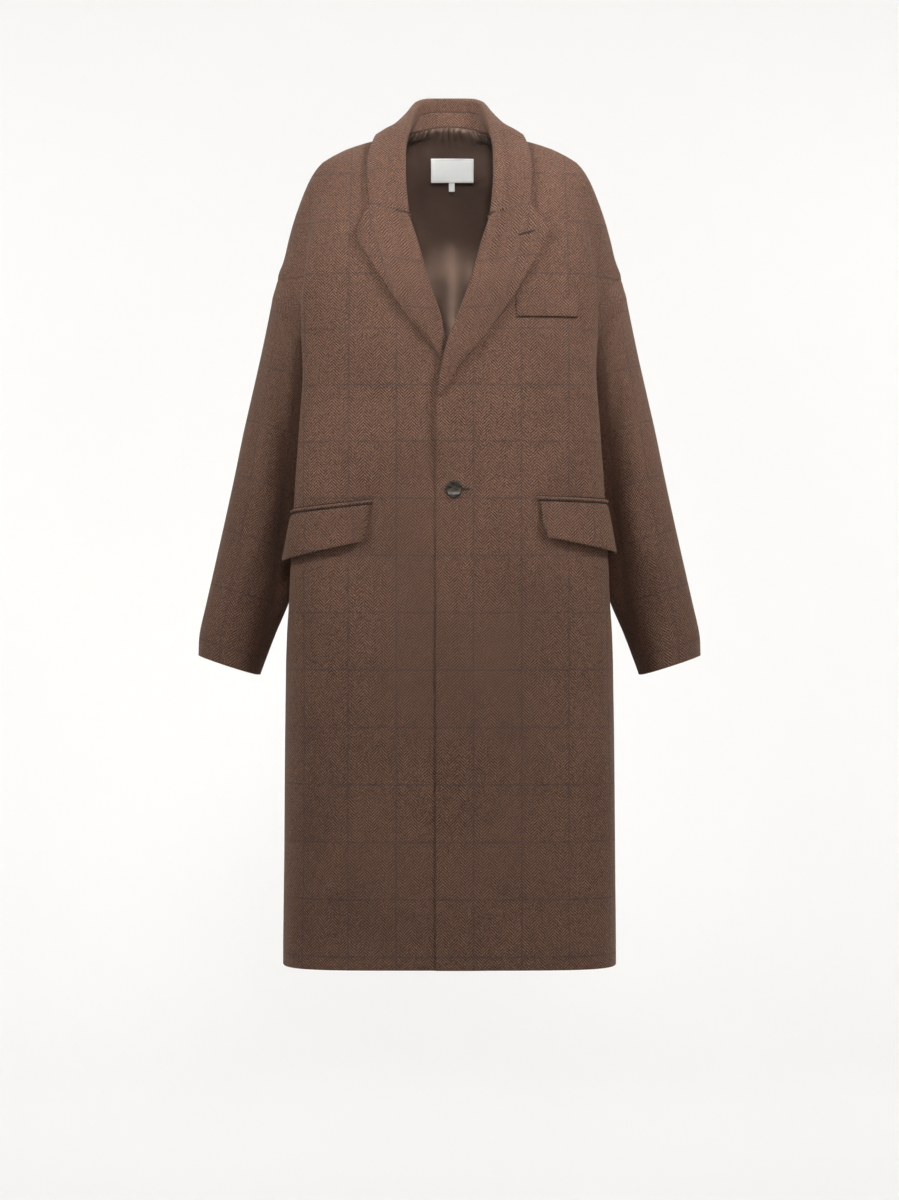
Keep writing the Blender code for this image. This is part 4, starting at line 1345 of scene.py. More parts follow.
@dataclass
class CollarAndLapels:
    """Turned collar on its stand, and the two lapels that go on from it at the gorge."""

    profile: int = 30
    collar_stations: int = 141
    stand_stations: int = 61
    stand_rows: int = 10
    lapel_stations: int = 72
    roll_top: float = 0.0066
    roll_width: float = 0.026
    belly: float = 0.0040
    half_roll: float = 0.0020
    air: float = 0.0018
    shoulder: float = 0.50
    blend_from: float = 0.80
    stand_end: float = 0.44
    edge_lift: float = 0.0048
    thick: float = 0.0034
    tight: float = 0.55
    roll: tuple[tuple[float, float, float, float], ...] = (
        (-0.0042, -0.0015, 0.0006, 0.0034),
        (-0.0048, 0.0015, 0.0026, 0.0034),
        (-0.0034, 0.0048, 0.0046, 0.0034),
        (0.0000, 0.0066, 0.0066, 0.0034),
        (0.0050, 0.0068, 0.0090, 0.0034),
        (0.0110, 0.0052, 0.0130, 0.0034),
    )
    stations: Table = field(default_factory=lambda: Table(
        "t fold_x fold_y fold_z edge_x edge_row lean drop neck", [
        (0.00, 0.0000, 0.0660, 0.1050, 0.0000, 0.0210, 0.00, 0.0140, 0.00),
        (0.13, 0.0260, 0.0640, 0.1045, 0.0390, 0.0215, 0.00, 0.0140, 0.22),
        (0.25, 0.0425, 0.0550, 0.0995, 0.0670, 0.0245, 0.00, 0.0135, 0.45),
        (0.36, 0.0510, 0.0360, 0.0860, 0.0840, 0.0295, 0.06, 0.0125, 0.68),
        (0.46, 0.0560, 0.0130, 0.0680, 0.0950, 0.0348, 0.20, 0.0070, 0.90),
        (0.50, 0.0580, 0.0045, 0.0600, 0.0990, 0.0358, 0.28, 0.0050, 0.98),
        (0.58, 0.0620, -0.0140, 0.0420, 0.1065, 0.0235, 0.45, 0.0020, 1.12),
        (0.70, 0.0650, -0.0385, 0.0130, 0.1120, -0.0020, 0.68, 0.0010, 1.32),
        (0.82, 0.0650, -0.0610, -0.0220, 0.1130, -0.0270, 0.86, 0.0010, 1.56),
        (0.92, 0.0625, -0.0780, -0.0550, 0.1115, -0.0500, 0.95, 0.0010, 1.80),
        (1.00, 0.0590, -0.0900, -0.0816, 0.1090, -0.0676, 1.00, 0.0015, 2.00),
    ]))
    lapels: dict[Side, Table] = field(default_factory=lambda: {
        Side.LEFT: Table("t roll_z inset edge_x edge_z roll", [
            (0.00, -0.0818, 0.0, 0.1090, -0.0678, 1.0),
            (0.08, -0.0950, 0.0, 0.1230, -0.0870, 1.0),
            (0.16, -0.1080, 0.0, 0.1345, -0.1030, 1.0),
            (0.23, -0.1220, 0.0, 0.1330, -0.1130, 1.0),
            (0.32, -0.1450, 0.0, 0.1216, -0.1370, 1.0),
            (0.42, -0.1700, 0.0, 0.1065, -0.1630, 1.0),
            (0.53, -0.2000, 0.0, 0.0855, -0.1980, 1.0),
            (0.65, -0.2350, 0.0, 0.0620, -0.2310, 1.0),
            (0.76, -0.2650, 0.0, 0.0395, -0.2610, 0.9),
            (0.86, -0.2900, 0.0, 0.0200, -0.2840, 0.6),
            (0.94, -0.3140, 0.0, 0.0030, -0.3080, 0.3),
            (1.00, -0.3320, 0.0, -0.0070, -0.3290, 0.0),
        ]),
        Side.RIGHT: Table("t roll_z inset edge_x edge_z roll", [
            (0.00, -0.0818, 0.0, 0.1088, -0.0678, 1.0),
            (0.08, -0.0950, 0.0, 0.1185, -0.0880, 1.0),
            (0.16, -0.1080, 0.0, 0.1265, -0.1060, 1.0),
            (0.23, -0.1220, 0.0, 0.1250, -0.1170, 1.0),
            (0.32, -0.1450, 0.0, 0.1130, -0.1390, 1.0),
            (0.42, -0.1700, 0.0, 0.0970, -0.1640, 1.0),
            (0.53, -0.2000, 0.0, 0.0765, -0.1970, 1.0),
            (0.65, -0.2240, 0.000, 0.0590, -0.2210, 0.8),
            (0.76, -0.2420, 0.003, 0.0450, -0.2400, 0.4),
            (0.86, -0.2560, 0.008, 0.0330, -0.2545, 0.1),
            (0.94, -0.2680, 0.012, 0.0230, -0.2670, 0.0),
            (1.00, -0.2780, 0.017, 0.0145, -0.2770, 0.0),
        ]),
    })

    def turned_row(self, base: np.ndarray, edge: np.ndarray, up: np.ndarray, roll: float = 1.0,
                   drop: Optional[float] = None, tight: float = 1.0) -> Bar:
        """Points across a turned-over edge: up inside, over the fold and down to the outer edge.

        Args:
            base: Point under the fold.
            edge: Point on the outer edge.
            up: Direction in which the fold stands.
            roll: Share of the soft roll; 0 is a flat lapel end.
            drop: How far the inside goes down, where the collar has one.
            tight: Share of the fold's width.

        Returns:
            Points and outward normals.
        """
        over = edge - base
        out = over - up * over.dot(up)
        width = float(np.linalg.norm(out))
        out = out / width
        scale = min(1.0, width / self.roll_width)
        path = []
        for past, lift, flat_past, flat_lift in self.roll:
            past = past if past < 0.0 else past * scale * tight
            along = past * roll + flat_past * scale * (1.0 - roll)
            raised = lift * roll + flat_lift * (1.0 - roll)
            path.append((along, raised + self.half_roll * 4.0 * roll * (1.0 - roll)))
        if drop is not None:
            path[0] = (self.roll[0][0], -drop)
        start = path[-1]
        end = (width, float(over.dot(up)) + self.edge_lift * roll)
        for t in (0.25, 0.5, 0.75, 1.0):
            along = start[0] + (end[0] - start[0]) * t
            lift = start[1] + (end[1] - start[1]) * t
            path.append((along, lift + self.belly * 4.0 * t * (1.0 - t) * scale))
        fine = even_path(np.array(path), self.profile)
        run = np.gradient(fine, axis=0)
        turn = -out * run[:, 1:] + up * run[:, :1]
        normals = unit(unit(turn) * roll + up * (1.0 - roll))
        return base + out * fine[:, :1] + up * fine[:, 1:], normals

    def outer_edge(self, t: float, face: Face, air: float) -> np.ndarray:
        """Point on the collar's outer edge at a station on the left.

        Args:
            t: The station, 0 to 1.
            face: Front or back.
            air: Gap to the cloth below.

        Returns:
            The point.
        """
        z = self.stations.at(t, "edge_row")
        return FORM.spot(z, FORM.at_x(z, self.stations.at(t, "edge_x"), face), Side.LEFT, DOUBLE + air)[0]

    def gorge(self) -> Grid:
        """Base, outer edge and normal of the turned cloth at the gorge, on the left."""
        base, up = FORM.spot(FORM.gorge_z, FORM.edge_distance(FORM.gorge_z), Side.LEFT)
        return base, self.outer_edge(1.0, Face.FRONT, AIR), up

    def collar_row(self, t: float) -> Bar:
        """Points across the collar at a station from the centre back to the left gorge.

        Args:
            t: The station, 0 to 1.

        Returns:
            Points and outward normals.
        """
        base_end, edge_end, up_end = self.gorge()
        read = functools.partial(self.stations.at, t)
        fold = np.array([read("fold_" + axis) for axis in "xyz"])
        up = unit(between(np.array([0.0, 0.0, 1.0]), up_end, read("lean")))
        edge = self.outer_edge(t, Face.BACK if t < self.shoulder else Face.FRONT, self.air)
        blend = float(ease((t - self.blend_from) / (1.0 - self.blend_from)))
        base = between(fold - up * self.roll_top, base_end, blend)
        up = unit(between(up, up_end, blend))
        tight = between(self.tight, 1.0, float(ease((t - 0.45) / 0.35)))
        return self.turned_row(base, between(edge, edge_end, blend), up, drop=read("drop"), tight=tight)

    def neck_point(self, place: float) -> np.ndarray:
        """Point on the neck seam.

        Args:
            place: From 0 to 1 round the back neck, and on to 2 down the front.

        Returns:
            The point.
        """
        z = between(FORM.neck_z, FORM.gorge_z, max(place - 1.0, 0.0))
        away = FORM.edge_distance(z)
        if place <= 1.0:
            away = FORM.total(z) - place * FORM.half_length(z, Face.BACK)
        return FORM.place(z, np.array([away]), Side.LEFT)[0]

    def stand_row(self, t: float) -> Bar:
        """Points up the stand from the neck seam to the seam under the fold.

        Args:
            t: The station, 0 to 1.

        Returns:
            Points and outward normals.
        """
        points, normals = self.collar_row(t)
        high = points[0] + unit(points[0] - points[1]) * SEAM
        low = self.neck_point(self.stations.at(t, "neck")) + normals[0] * (CLOTH + SEAM)
        share = np.linspace(0.0, 1.0, self.stand_rows)[:, None]
        return between(low, high, share), np.repeat(normals[:1], self.stand_rows, axis=0)

    def ring(self, make: Callable[[float], Bar], reach: float, count: int) -> Grid:
        """Grid of a ring from the right end round the back to the left end.

        Args:
            make: Makes one row on the left.
            reach: Station of the ends.
            count: Number of rows.

        Returns:
            Points, flat places and normals.
        """
        rows = []
        for t in np.linspace(-reach, reach, count):
            flip = np.array([-1.0 if t < 0.0 else 1.0, 1.0, 1.0])
            rows.append([part * flip for part in make(round(abs(float(t)), 6))])
        points, flat, normals = self.laid(rows)
        return points, flat[..., ::-1], normals

    @staticmethod
    def laid(rows: Sequence[Bar]) -> Grid:
        """Grid of rows of points and normals, with its flat places across its rows and along them.

        Args:
            rows: Points and normals of each row.

        Returns:
            Points, flat places and normals.
        """
        points, normals = stacked(rows)
        along = np.mean(arc_lengths(points, 0), axis=1, keepdims=True) + np.zeros(points.shape[:2])
        return points, np.stack([arc_lengths(points, 1), -along], axis=2), normals

    def collar(self) -> ClothPiece:
        """The collar from gorge to gorge."""
        return ClothPiece(
            "coat_collar", "collar", self.ring(self.collar_row, 1.0, self.collar_stations),
            (0.50, 0.095), 0.040, self.thick, hold=Hold.FOLDED,
            rests_on=("coat_back", "coat_front_left", "coat_front_right"))

    def stand(self) -> ClothPiece:
        """The stand inside the back neck."""
        return ClothPiece(
            "coat_collar_stand", "collar_stand",
            self.ring(self.stand_row, self.stand_end, self.stand_stations),
            (0.175, 0.034), 0.0042, rests_on=("coat_back",), edge=0.0)

    def lapel(self, side: Side) -> ClothPiece:
        """One lapel from the gorge to its tip.

        Args:
            side: The wearer's side.

        Returns:
            The piece, ready to build.
        """
        rows = []
        for t in np.linspace(0.0, 1.0, self.lapel_stations):
            read = functools.partial(self.lapels[side].at, float(t))
            z, edge_z = read("roll_z"), read("edge_z")
            base, up = FORM.spot(z, FORM.edge_distance(z) + read("inset"), side)
            edge, _ = FORM.spot(edge_z, FORM.at_x(edge_z, read("edge_x")), side, DOUBLE + AIR)
            rows.append(self.turned_row(base, edge, up, roll=read("roll")))
        cut, area = ((0.11, 0.28), 0.0172) if side is Side.LEFT else ((0.105, 0.23), 0.0135)
        return ClothPiece(
            f"coat_lapel_{side.word}", f"lapel_{side.word}", self.laid(rows), cut, area, self.thick,
            hold=Hold.FOLDED, rests_on=(f"coat_front_{side.word}",))

    def build(self) -> list[bpy.types.Object]:
        """Make the collar, its stand and the lapels."""
        pieces = [self.collar(), self.stand(), self.lapel(Side.LEFT), self.lapel(Side.RIGHT)]
        return [piece.build() for piece in pieces]


@dataclass
class Stitches:
    """Short stitches of thread, each a slim rounded bar lying on the cloth."""

    name: str
    finish: ThreadFinish
    radius: float
    slot: str

    def build(self, bars: Sequence[Bar]) -> bpy.types.Object:
        """Make all the stitches as one piece.

        Args:
            bars: Start and end of each stitch.

        Returns:
            The finished object.
        """
        bm = bmesh.new()
        for start, end in bars:
            run = Vector(end - start)
            turn = run.to_track_quat("Z", "Y").to_matrix().to_4x4()
            size = Matrix.Diagonal((self.radius, self.radius, 0.5 * run.length + self.radius, 1.0))
            place = Matrix.Translation(Vector((start + end) / 2.0))
            bmesh.ops.create_uvsphere(bm, u_segments=8, v_segments=6, radius=1.0, matrix=place @ turn @ size)
        for face in bm.faces:
            face.smooth = True
        made = new_object(self.name, bm)
        made.data.materials.append(self.finish.material())
        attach(made, "root")
        log.info("%s: %d stitches", self.name, len(bars))
        return made


@dataclass(frozen=True)
class PocketSizes:
    """One hip pocket: x of its inner end, width, and heights of the flap at its ends."""

    inner_x: float
    width: float
    top_in: float
    top_out: float
    low_in: float
    low_out: float


@dataclass
class Pockets:
    """Flaps and jets of the hip pockets, and the breast welt."""

    hips: dict[Side, PocketSizes] = field(default_factory=lambda: {
        Side.LEFT: PocketSizes(0.1217, 0.140, -0.4740, -0.4790, -0.5240, -0.5500),
        Side.RIGHT: PocketSizes(0.1075, 0.150, -0.4790, -0.4950, -0.5300, -0.5600),
    })
    slant: float = 0.009
    corner: float = 0.010
    flare: float = 0.0060
    stand_off: float = 0.0046
    soft_edge: float = 0.0012
    soft_reach: float = 0.0030
    swell: float = 0.0014
    top_sink: float = 0.0014
    top_reach: float = 0.05
    flap_height: float = 0.060
    stitch: float = 0.0032
    flap_air: float = 0.0009
    jet_roll: float = 0.0026
    jet_height: float = 0.0055
    jet_spare: float = 0.003
    welt_x: float = 0.0910
    welt_width: float = 0.083
    welt_top: float = -0.195
    welt_low: float = -0.2235
    welt_sink: float = 0.0009
    welt_reach: float = 0.003
    welt_shape: tuple[int, int] = (14, 46)
    flap_shape: tuple[int, int] = (44, 100)
    jet_shape: tuple[int, int] = (11, 64)
    clear: float = 0.0002

    def start(self, side: Side) -> float:
        """Distance round the body of a hip pocket's inner end."""
        return FORM.at_x(self.hips[side].top_in, self.hips[side].inner_x)

    def patch(self, side: Side, ends: Pair, heights: tuple[float, float, float, float],
              lift: Callable[[float, np.ndarray], np.ndarray], shape: tuple[int, int],
              slant: float = 0.0, corner: float = 0.0) -> Grid:
        """Grid of a patch on a front.

        Args:
            side: The wearer's side.
            ends: Distances round the body of its two ends.
            heights: Top at the inner and the outer end, then bottom at the inner and the outer end.
            lift: How far it stands off the body, by share down and across.
            shape: Rows and columns.
            slant: How much the lower inner corner moves out.
            corner: Radius of the lower corners.

        Returns:
            Points, flat places and normals.
        """
        even = np.linspace(0.0, 1.0, shape[1])
        share = between(even, 0.5 - 0.5 * np.cos(np.pi * even), 0.45)
        top = between(heights[0], heights[1], share)
        low = between(heights[2], heights[3], share)
        if corner:
            from_end = np.minimum(np.minimum(2.0 * share, 0.5 - 0.5 * share) * (ends[1] - ends[0]), corner)
            low = low + corner - np.sqrt(np.maximum(corner ** 2 - (corner - from_end) ** 2, 0.0))
        rows = []
        for drop in np.linspace(0.0, 1.0, shape[0]):
            level = between(top, low, drop)
            distance = between(ends[0], ends[1], share) + slant * drop * (1.0 - share)
            places = zip(level, distance, lift(float(drop), share))
            point, normal = stacked(FORM.spot(z, away, side, out) for z, away, out in places)
            rows.append((point, np.stack([distance, level], axis=1), normal))
        return stacked(rows)

    def flap(self, side: Side) -> ClothPiece:
        """One pocket flap, standing off a little more towards its outer lower corner.

        Args:
            side: The wearer's side.

        Returns:
            The piece, ready to build.
        """
        hip = self.hips[side]
        start = self.start(side)

        def lift(drop: float, share: np.ndarray) -> np.ndarray:
            """Flare of the flap with a soft swell across its middle and rounded edges.

            Args:
                drop: Share down the patch.
                share: Shares across it.

            Returns:
                Distance off the body at each share across.
            """
            swell = self.swell * math.sin(math.pi * min(drop * 1.1, 1.0)) * np.sin(np.pi * share) ** 0.6
            border = np.minimum(np.minimum(share, 1.0 - share) * hip.width, (1.0 - drop) * self.flap_height)
            rounded = self.soft_edge * hump(border, self.soft_reach)
            rounded = rounded + self.top_sink * hump(drop, self.top_reach)
            hung = DOUBLE + self.flap_air + self.flare * drop * share + self.stand_off * drop ** 2
            return hung + swell - rounded

        grid = self.patch(
            side, (start, start + hip.width), (hip.top_in, hip.top_out, hip.low_in, hip.low_out), lift,
            self.flap_shape, self.slant, self.corner)
        return ClothPiece(
            f"pocket_flap_{side.word}", f"flap_{side.word}", grid, (0.155, 0.075), 0.0088, DOUBLE,
            rests_on=(f"coat_front_{side.word}",), edge=0.0)

    def jet_ends(self, side: Side) -> Pair:
        """Distances round the body of a jet's two ends.

        Args:
            side: The wearer's side.

        Returns:
            Distances of the inner and the outer end.
        """
        start = self.start(side)
        return start - self.jet_spare, start + self.hips[side].width + self.jet_spare

    def jet(self, side: Side) -> ClothPiece:
        """The narrow jet over a flap, folded into a soft roll.

        Args:
            side: The wearer's side.

        Returns:
            The piece, ready to build.
        """
        hip = self.hips[side]
        heights = tuple(z + over for over in (self.jet_height, SEAM) for z in (hip.top_in, hip.top_out))

        def lift(drop: float, share: np.ndarray) -> np.ndarray:
            """Roll of the jet, the same all along it.

            Args:
                drop: Share down the patch.
                share: Shares across it.

            Returns:
                Distance off the body at each share across.
            """
            return np.full_like(share, CLOTH + self.jet_roll * math.sin(math.pi * drop) ** 0.7)

        grid = self.patch(side, self.jet_ends(side), heights, lift, self.jet_shape)
        return ClothPiece(
            f"pocket_jet_{side.word}", f"jet_{side.word}", grid, (0.156, 0.012), 0.00120, hold=Hold.FOLDED,
            rests_on=(f"coat_front_{side.word}",), edge=0.0)

    def shadow_ditch(self, side: Side, ends: Pair, heights: Pair, lift: float = 0.0004) -> list[Bar]:
        """Close stitches sunk along a straight seam on a front, thick and dark so that they paint the seam's
        shadow line.

        Args:
            side: The wearer's side.
            ends: Distances round the body of the seam's two ends.
            heights: Heights of the two ends.
            lift: How far the seam lies off the body.

        Returns:
            Start and end of each stitch.
        """
        length = math.hypot(ends[1] - ends[0], heights[1] - heights[0])
        count = max(int(length / self.stitch), 3)
        line = [FORM.spot(between(*heights, share), between(*ends, share), side, lift)[0]
                for share in np.linspace(0.0, 1.0, 2 * count)]
        return list(zip(line[::2], line[1::2]))

    def shadow_lines(self) -> bpy.types.Object:
        """Dark stitches over the jets and round the welt, sewn in their seams and made thick and close so
        that they paint the seams' shadow lines.
        """
        bars = []
        # Two lines of painted shadow for each pocket: one over the jet and one between the jet and the flap.
        for side, hip in self.hips.items():
            for over, lift in ((self.jet_height + 0.0009, 0.0007), (0.0, 0.0026)):
                bars += self.shadow_ditch(side, self.jet_ends(side), (hip.top_in + over, hip.top_out + over), lift)
        start = FORM.at_x(self.welt_top, self.welt_x)
        end = start + self.welt_width
        foot = self.welt_low - self.clear
        # Painted shadow lines along the welt's foot and its two ends.
        bars += self.shadow_ditch(Side.LEFT, (start, end), (foot, foot))
        for place in (start - self.clear, end + self.clear):
            bars += self.shadow_ditch(Side.LEFT, (place, place), (self.welt_top, self.welt_low))
        return Stitches("pocket_shadow_lines", DARK_THREAD, 0.0008, "tweed").build(bars)

    def welt(self) -> ClothPiece:
        """The breast welt, sewn down at its ends and foot."""
        start = FORM.at_x(self.welt_top, self.welt_x)

        def lift(drop: float, share: np.ndarray) -> np.ndarray:
            """Flat welt that sinks into its seam at the foot and the ends.

            Args:
                drop: Share down the patch.
                share: Shares across it.

            Returns:
                Distance off the body at each share across.
            """
            sunk = hump(np.minimum(share, 1.0 - share) * self.welt_width, self.welt_reach)
            sunk = sunk * (1.0 if drop > 0.1 else 0.5)
            return CLOTH + AIR + self.welt_sink * (1.0 - sunk - 5.0 * max(drop - 0.8, 0.0))

        grid = self.patch(
            Side.LEFT, (start, start + self.welt_width),
            (self.welt_top, self.welt_top, self.welt_low, self.welt_low), lift, self.welt_shape)
        return ClothPiece(
            "pocket_breast_welt", "breast_welt", grid, (0.084, 0.030), 0.0025, hold=Hold.FOLDED,
            rests_on=("coat_front_left",))

    def build(self) -> list[bpy.types.Object]:
        """Make the flaps, the jets, the welt and the stitches that paint their shadow lines."""
        pieces = [make(side) for side in Side for make in (self.flap, self.jet)]
        return [piece.build() for piece in pieces + [self.welt()]] + [self.shadow_lines()]


@dataclass
class Inside:
    """Plain label and size tab on the lining, sewn along their edges."""

    label_x: Pair = (-0.027, 0.035)
    label_z: Pair = (0.0130, -0.0105)
    tab_x: Pair = (-0.001, 0.0075)
    tab_z: Pair = (-0.0112, -0.0215)
    lift: float = -(CLOTH + AIR + FINE + 0.0042)
    swing: float = 0.0080
    shape: tuple[int, int] = (14, 40)
    stitch: float = 0.0024

    def tape(self, name: str, node: str, x_ends: Pair, z_ends: Pair, cut: Pair, lift: float,
             swing: float) -> ClothPiece:
        """One piece of tape inside the back, facing the neck.

        Args:
            name: Name of the piece.
            node: CAD node that it stands for.
            x_ends: Its ends across.
            z_ends: Its top and bottom rows.
            cut: Flat size.
            lift: How far its top is moved out, less than nothing for inside.
            swing: How much further in its foot hangs.

        Returns:
            The piece, ready to build.
        """
        across = np.linspace(x_ends[0], x_ends[1], self.shape[1])
        rows = []
        for share in np.linspace(0.0, 1.0, self.shape[0]):
            z = float(between(*z_ends, share))
            row = []
            for x in across:
                side = Side.LEFT if x > 0.0 else Side.RIGHT
                row.append(FORM.spot(z, FORM.at_x(z, float(x), Face.BACK), side, lift - swing * share))
            point, normal = stacked(row)
            rows.append((point, np.stack([across, np.full_like(across, z)], axis=1), -normal))
        return ClothPiece(
            name, node, stacked(rows), cut, cut[0] * cut[1], THIN, TAPE, hold=Hold.LAID,
            rests_on=("back_lining",), edge=0.0)

    def sewing(self, label: ClothPiece) -> list[Bar]:
        """Running stitches just inside the four edges of the label.

        Args:
            label: The label.

        Returns:
            Start and end of each stitch.
        """
        grid = label.grid[0] + label.grid[2] * 0.0001
        bars = []
        for line in (grid[1, 1:-1], grid[1:-1, -2], grid[-2, 1:-1][::-1], grid[1:-1, 1][::-1]):
            length = float(np.sum(np.linalg.norm(np.diff(line, axis=0), axis=1)))
            path = even_path(line, 2 * max(int(length / self.stitch), 2) + 1)
            bars += list(zip(path[:-1:2], path[1::2]))
        return bars

    def build(self) -> list[bpy.types.Object]:
        """Make the label, the tab and the label's sewing."""
        label = self.tape(
            "neck_label", "label", self.label_x, self.label_z, (0.062, 0.030), self.lift, self.swing)
        under = self.lift - self.swing + 0.0012
        tab = self.tape("size_tab_blank", "size_tab", self.tab_x, self.tab_z, (0.0100, 0.0135), under, 0.001)
        sewing = Stitches("label_sewing", PALE_THREAD, 0.00022, "tape")
        return [label.build(), tab.build(), sewing.build(self.sewing(label))]


@dataclass
class Fastening:
    """Horn button with its thread, and the two buttonholes."""

    x: float = 0.006
    z: float = -0.459
    radius: float = 0.0115
    thick: float = 0.0040
    hole: float = 0.0011
    hole_gap: float = 0.0022
    rim: tuple[Pair, ...] = (
        (0.0, 0.00), (0.70, 0.00), (0.84, 0.04), (0.94, 0.16), (0.99, 0.34), (1.00, 0.55), (0.985, 0.76),
        (0.95, 0.92), (0.90, 1.00), (0.84, 0.99), (0.79, 0.92), (0.73, 0.80), (0.66, 0.71), (0.50, 0.67),
        (0.0, 0.66))
    front_hole: Pair = (-0.006, 0.0252)
    lapel_hole: tuple[Pair, Pair] = ((0.0955, -0.1105), (0.1150, -0.1045))

    def seat(self) -> np.ndarray:
        """Point on the left front where the button sits."""
        return FORM.spot(self.z, self.x, Side.LEFT, AIR)[0]

    @property
    def half_gap(self) -> float:
        """Distance of a hole from the button's middle, across and up."""
        return 0.5 * self.hole_gap + 0.5 * self.hole

    def cutter(self, back: Vector) -> bpy.types.Object:
        """Four pins that cut the holes of the button.

        Args:
            back: Middle of the button's back.

        Returns:
            The pins as one object.
        """
        bm = bmesh.new()
        for dx in (-self.half_gap, self.half_gap):
            for dz in (-self.half_gap, self.half_gap):
                place = Matrix.Translation(back + Vector((dx, -0.5 * self.thick, dz)))
                bmesh.ops.create_cone(
                    bm, cap_ends=True, segments=20, radius1=self.hole, radius2=self.hole,
                    depth=3.0 * self.thick, matrix=place @ Matrix.Rotation(math.pi / 2.0, 4, "X"))
        return new_object("hole_cutter", bm)

    def button(self) -> bpy.types.Object:
        """Round button with a raised rim and four holes, turned about its own axis."""
        back = Vector(self.seat())
        bm = bmesh.new()
        verts = [bm.verts.new(back + Vector((r * self.radius, -h * self.thick, 0.0))) for r, h in self.rim]
        edges = [bm.edges.new(pair) for pair in zip(verts, verts[1:])]
        bmesh.ops.spin(
            bm, geom=verts + edges, cent=back, axis=(0.0, 1.0, 0.0), angle=2.0 * math.pi, steps=72,
            use_merge=True)
        bmesh.ops.remove_doubles(bm, verts=bm.verts, dist=1e-6)
        bmesh.ops.recalc_face_normals(bm, faces=bm.faces)
        made = new_object("coat_button", bm)
        tool = self.cutter(back)
        drill = made.modifiers.new("holes", "BOOLEAN")
        drill.object = tool
        drill.operation = "DIFFERENCE"
        drill.solver = "EXACT"
        bpy.context.view_layer.update()
        drilled = bpy.data.meshes.new_from_object(made.evaluated_get(bpy.context.evaluated_depsgraph_get()))
        made.modifiers.clear()
        made.data = drilled
        bpy.data.objects.remove(tool)
        drilled.polygons.foreach_set("use_smooth", [True] * len(drilled.polygons))
        drilled.materials.clear()
        drilled.materials.append(HORN.material())
        drilled.set_sharp_from_angle(angle=math.radians(40.0))
        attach(made, "root")
        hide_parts("button")
        log.info("coat_button: %d points", len(drilled.vertices))
        return made

    def thread(self) -> bpy.types.Object:
        """Thread through the button's holes, three strands a pair."""
        seat = self.seat()
        bars = []
        for row in (-self.half_gap, self.half_gap):
            for strand in (-0.0004, 0.0, 0.0004):
                ends = (-self.half_gap, self.half_gap)
                left, right = (seat + np.array([end, -0.70 * self.thick, row + strand]) for end in ends)
                bars.append((left, right))
        return Stitches("button_thread", DARK_THREAD, 0.00028, "horn").build(bars)

    @staticmethod
    def worked_hole(line: np.ndarray, normals: np.ndarray) -> list[Bar]:
        """Stitches of a buttonhole worked over both lips of its slit.

        Args:
            line: Points along the slit.
            normals: Normals of the cloth there.

        Returns:
            Start and end of each stitch.
        """
        run = unit(np.gradient(line, axis=0))
        aside = unit(np.cross(normals, run))
        bars = []
        for point, normal, way in zip(line, normals, aside):
            for lip in (-1.0, 1.0):
                inner = point + way * lip * 0.0002 + normal * 0.0001
                bars.append((inner, point + way * lip * 0.0015 + normal * 0.0002))
        for end, way in ((0, -1.0), (-1, 1.0)):
            for turn in (-0.9, -0.3, 0.3, 0.9):
                out = run[end] * way * math.cos(turn) + aside[end] * math.sin(turn)
                bars.append((line[end] + out * 0.0003, line[end] + out * 0.0017 + normals[end] * 0.0002))
        return bars

    def front_buttonhole(self) -> bpy.types.Object:
        """Buttonhole under the button on the left front."""
        across = np.linspace(self.front_hole[0], self.front_hole[1], 40)
        line = stacked(FORM.spot(self.z, FORM.at_x(self.z, float(x)), Side.LEFT, 0.0003) for x in across)
        return Stitches("front_buttonhole", DARK_THREAD, 0.00035, "tweed").build(self.worked_hole(*line))

    def lapel_buttonhole(self, lapel: ClothPiece) -> bpy.types.Object:
        """Buttonhole near the corner of the left lapel, on the lapel's own cloth.

        Args:
            lapel: The lapel that it is worked in.

        Returns:
            The finished object.
        """
        spots = lapel.grid[0].reshape(-1, 3)
        normals = lapel.grid[2].reshape(-1, 3)
        first, last = np.array(self.lapel_hole)
        rows = []
        for share in np.linspace(0.0, 1.0, 26):
            x, z = between(first, last, share)
            away = np.hypot(spots[:, 0] - x, spots[:, 2] - z)
            near = np.argsort(away)[:6]
            weight = 1.0 / (away[near] + 1e-5)
            weight = weight / np.sum(weight)
            normal = unit(weight @ normals[near])
            rows.append((np.array([x, weight @ spots[near, 1], z]) + normal * 0.0002, normal))
        bars = self.worked_hole(*stacked(rows))
        return Stitches("lapel_buttonhole", DARK_THREAD, 0.00035, "tweed").build(bars)

    def build(self, lapel: ClothPiece) -> list[bpy.types.Object]:
        """Make the button, its thread and the buttonholes."""
        return [self.button(), self.thread(), self.front_buttonhole(), self.lapel_buttonhole(lapel)]


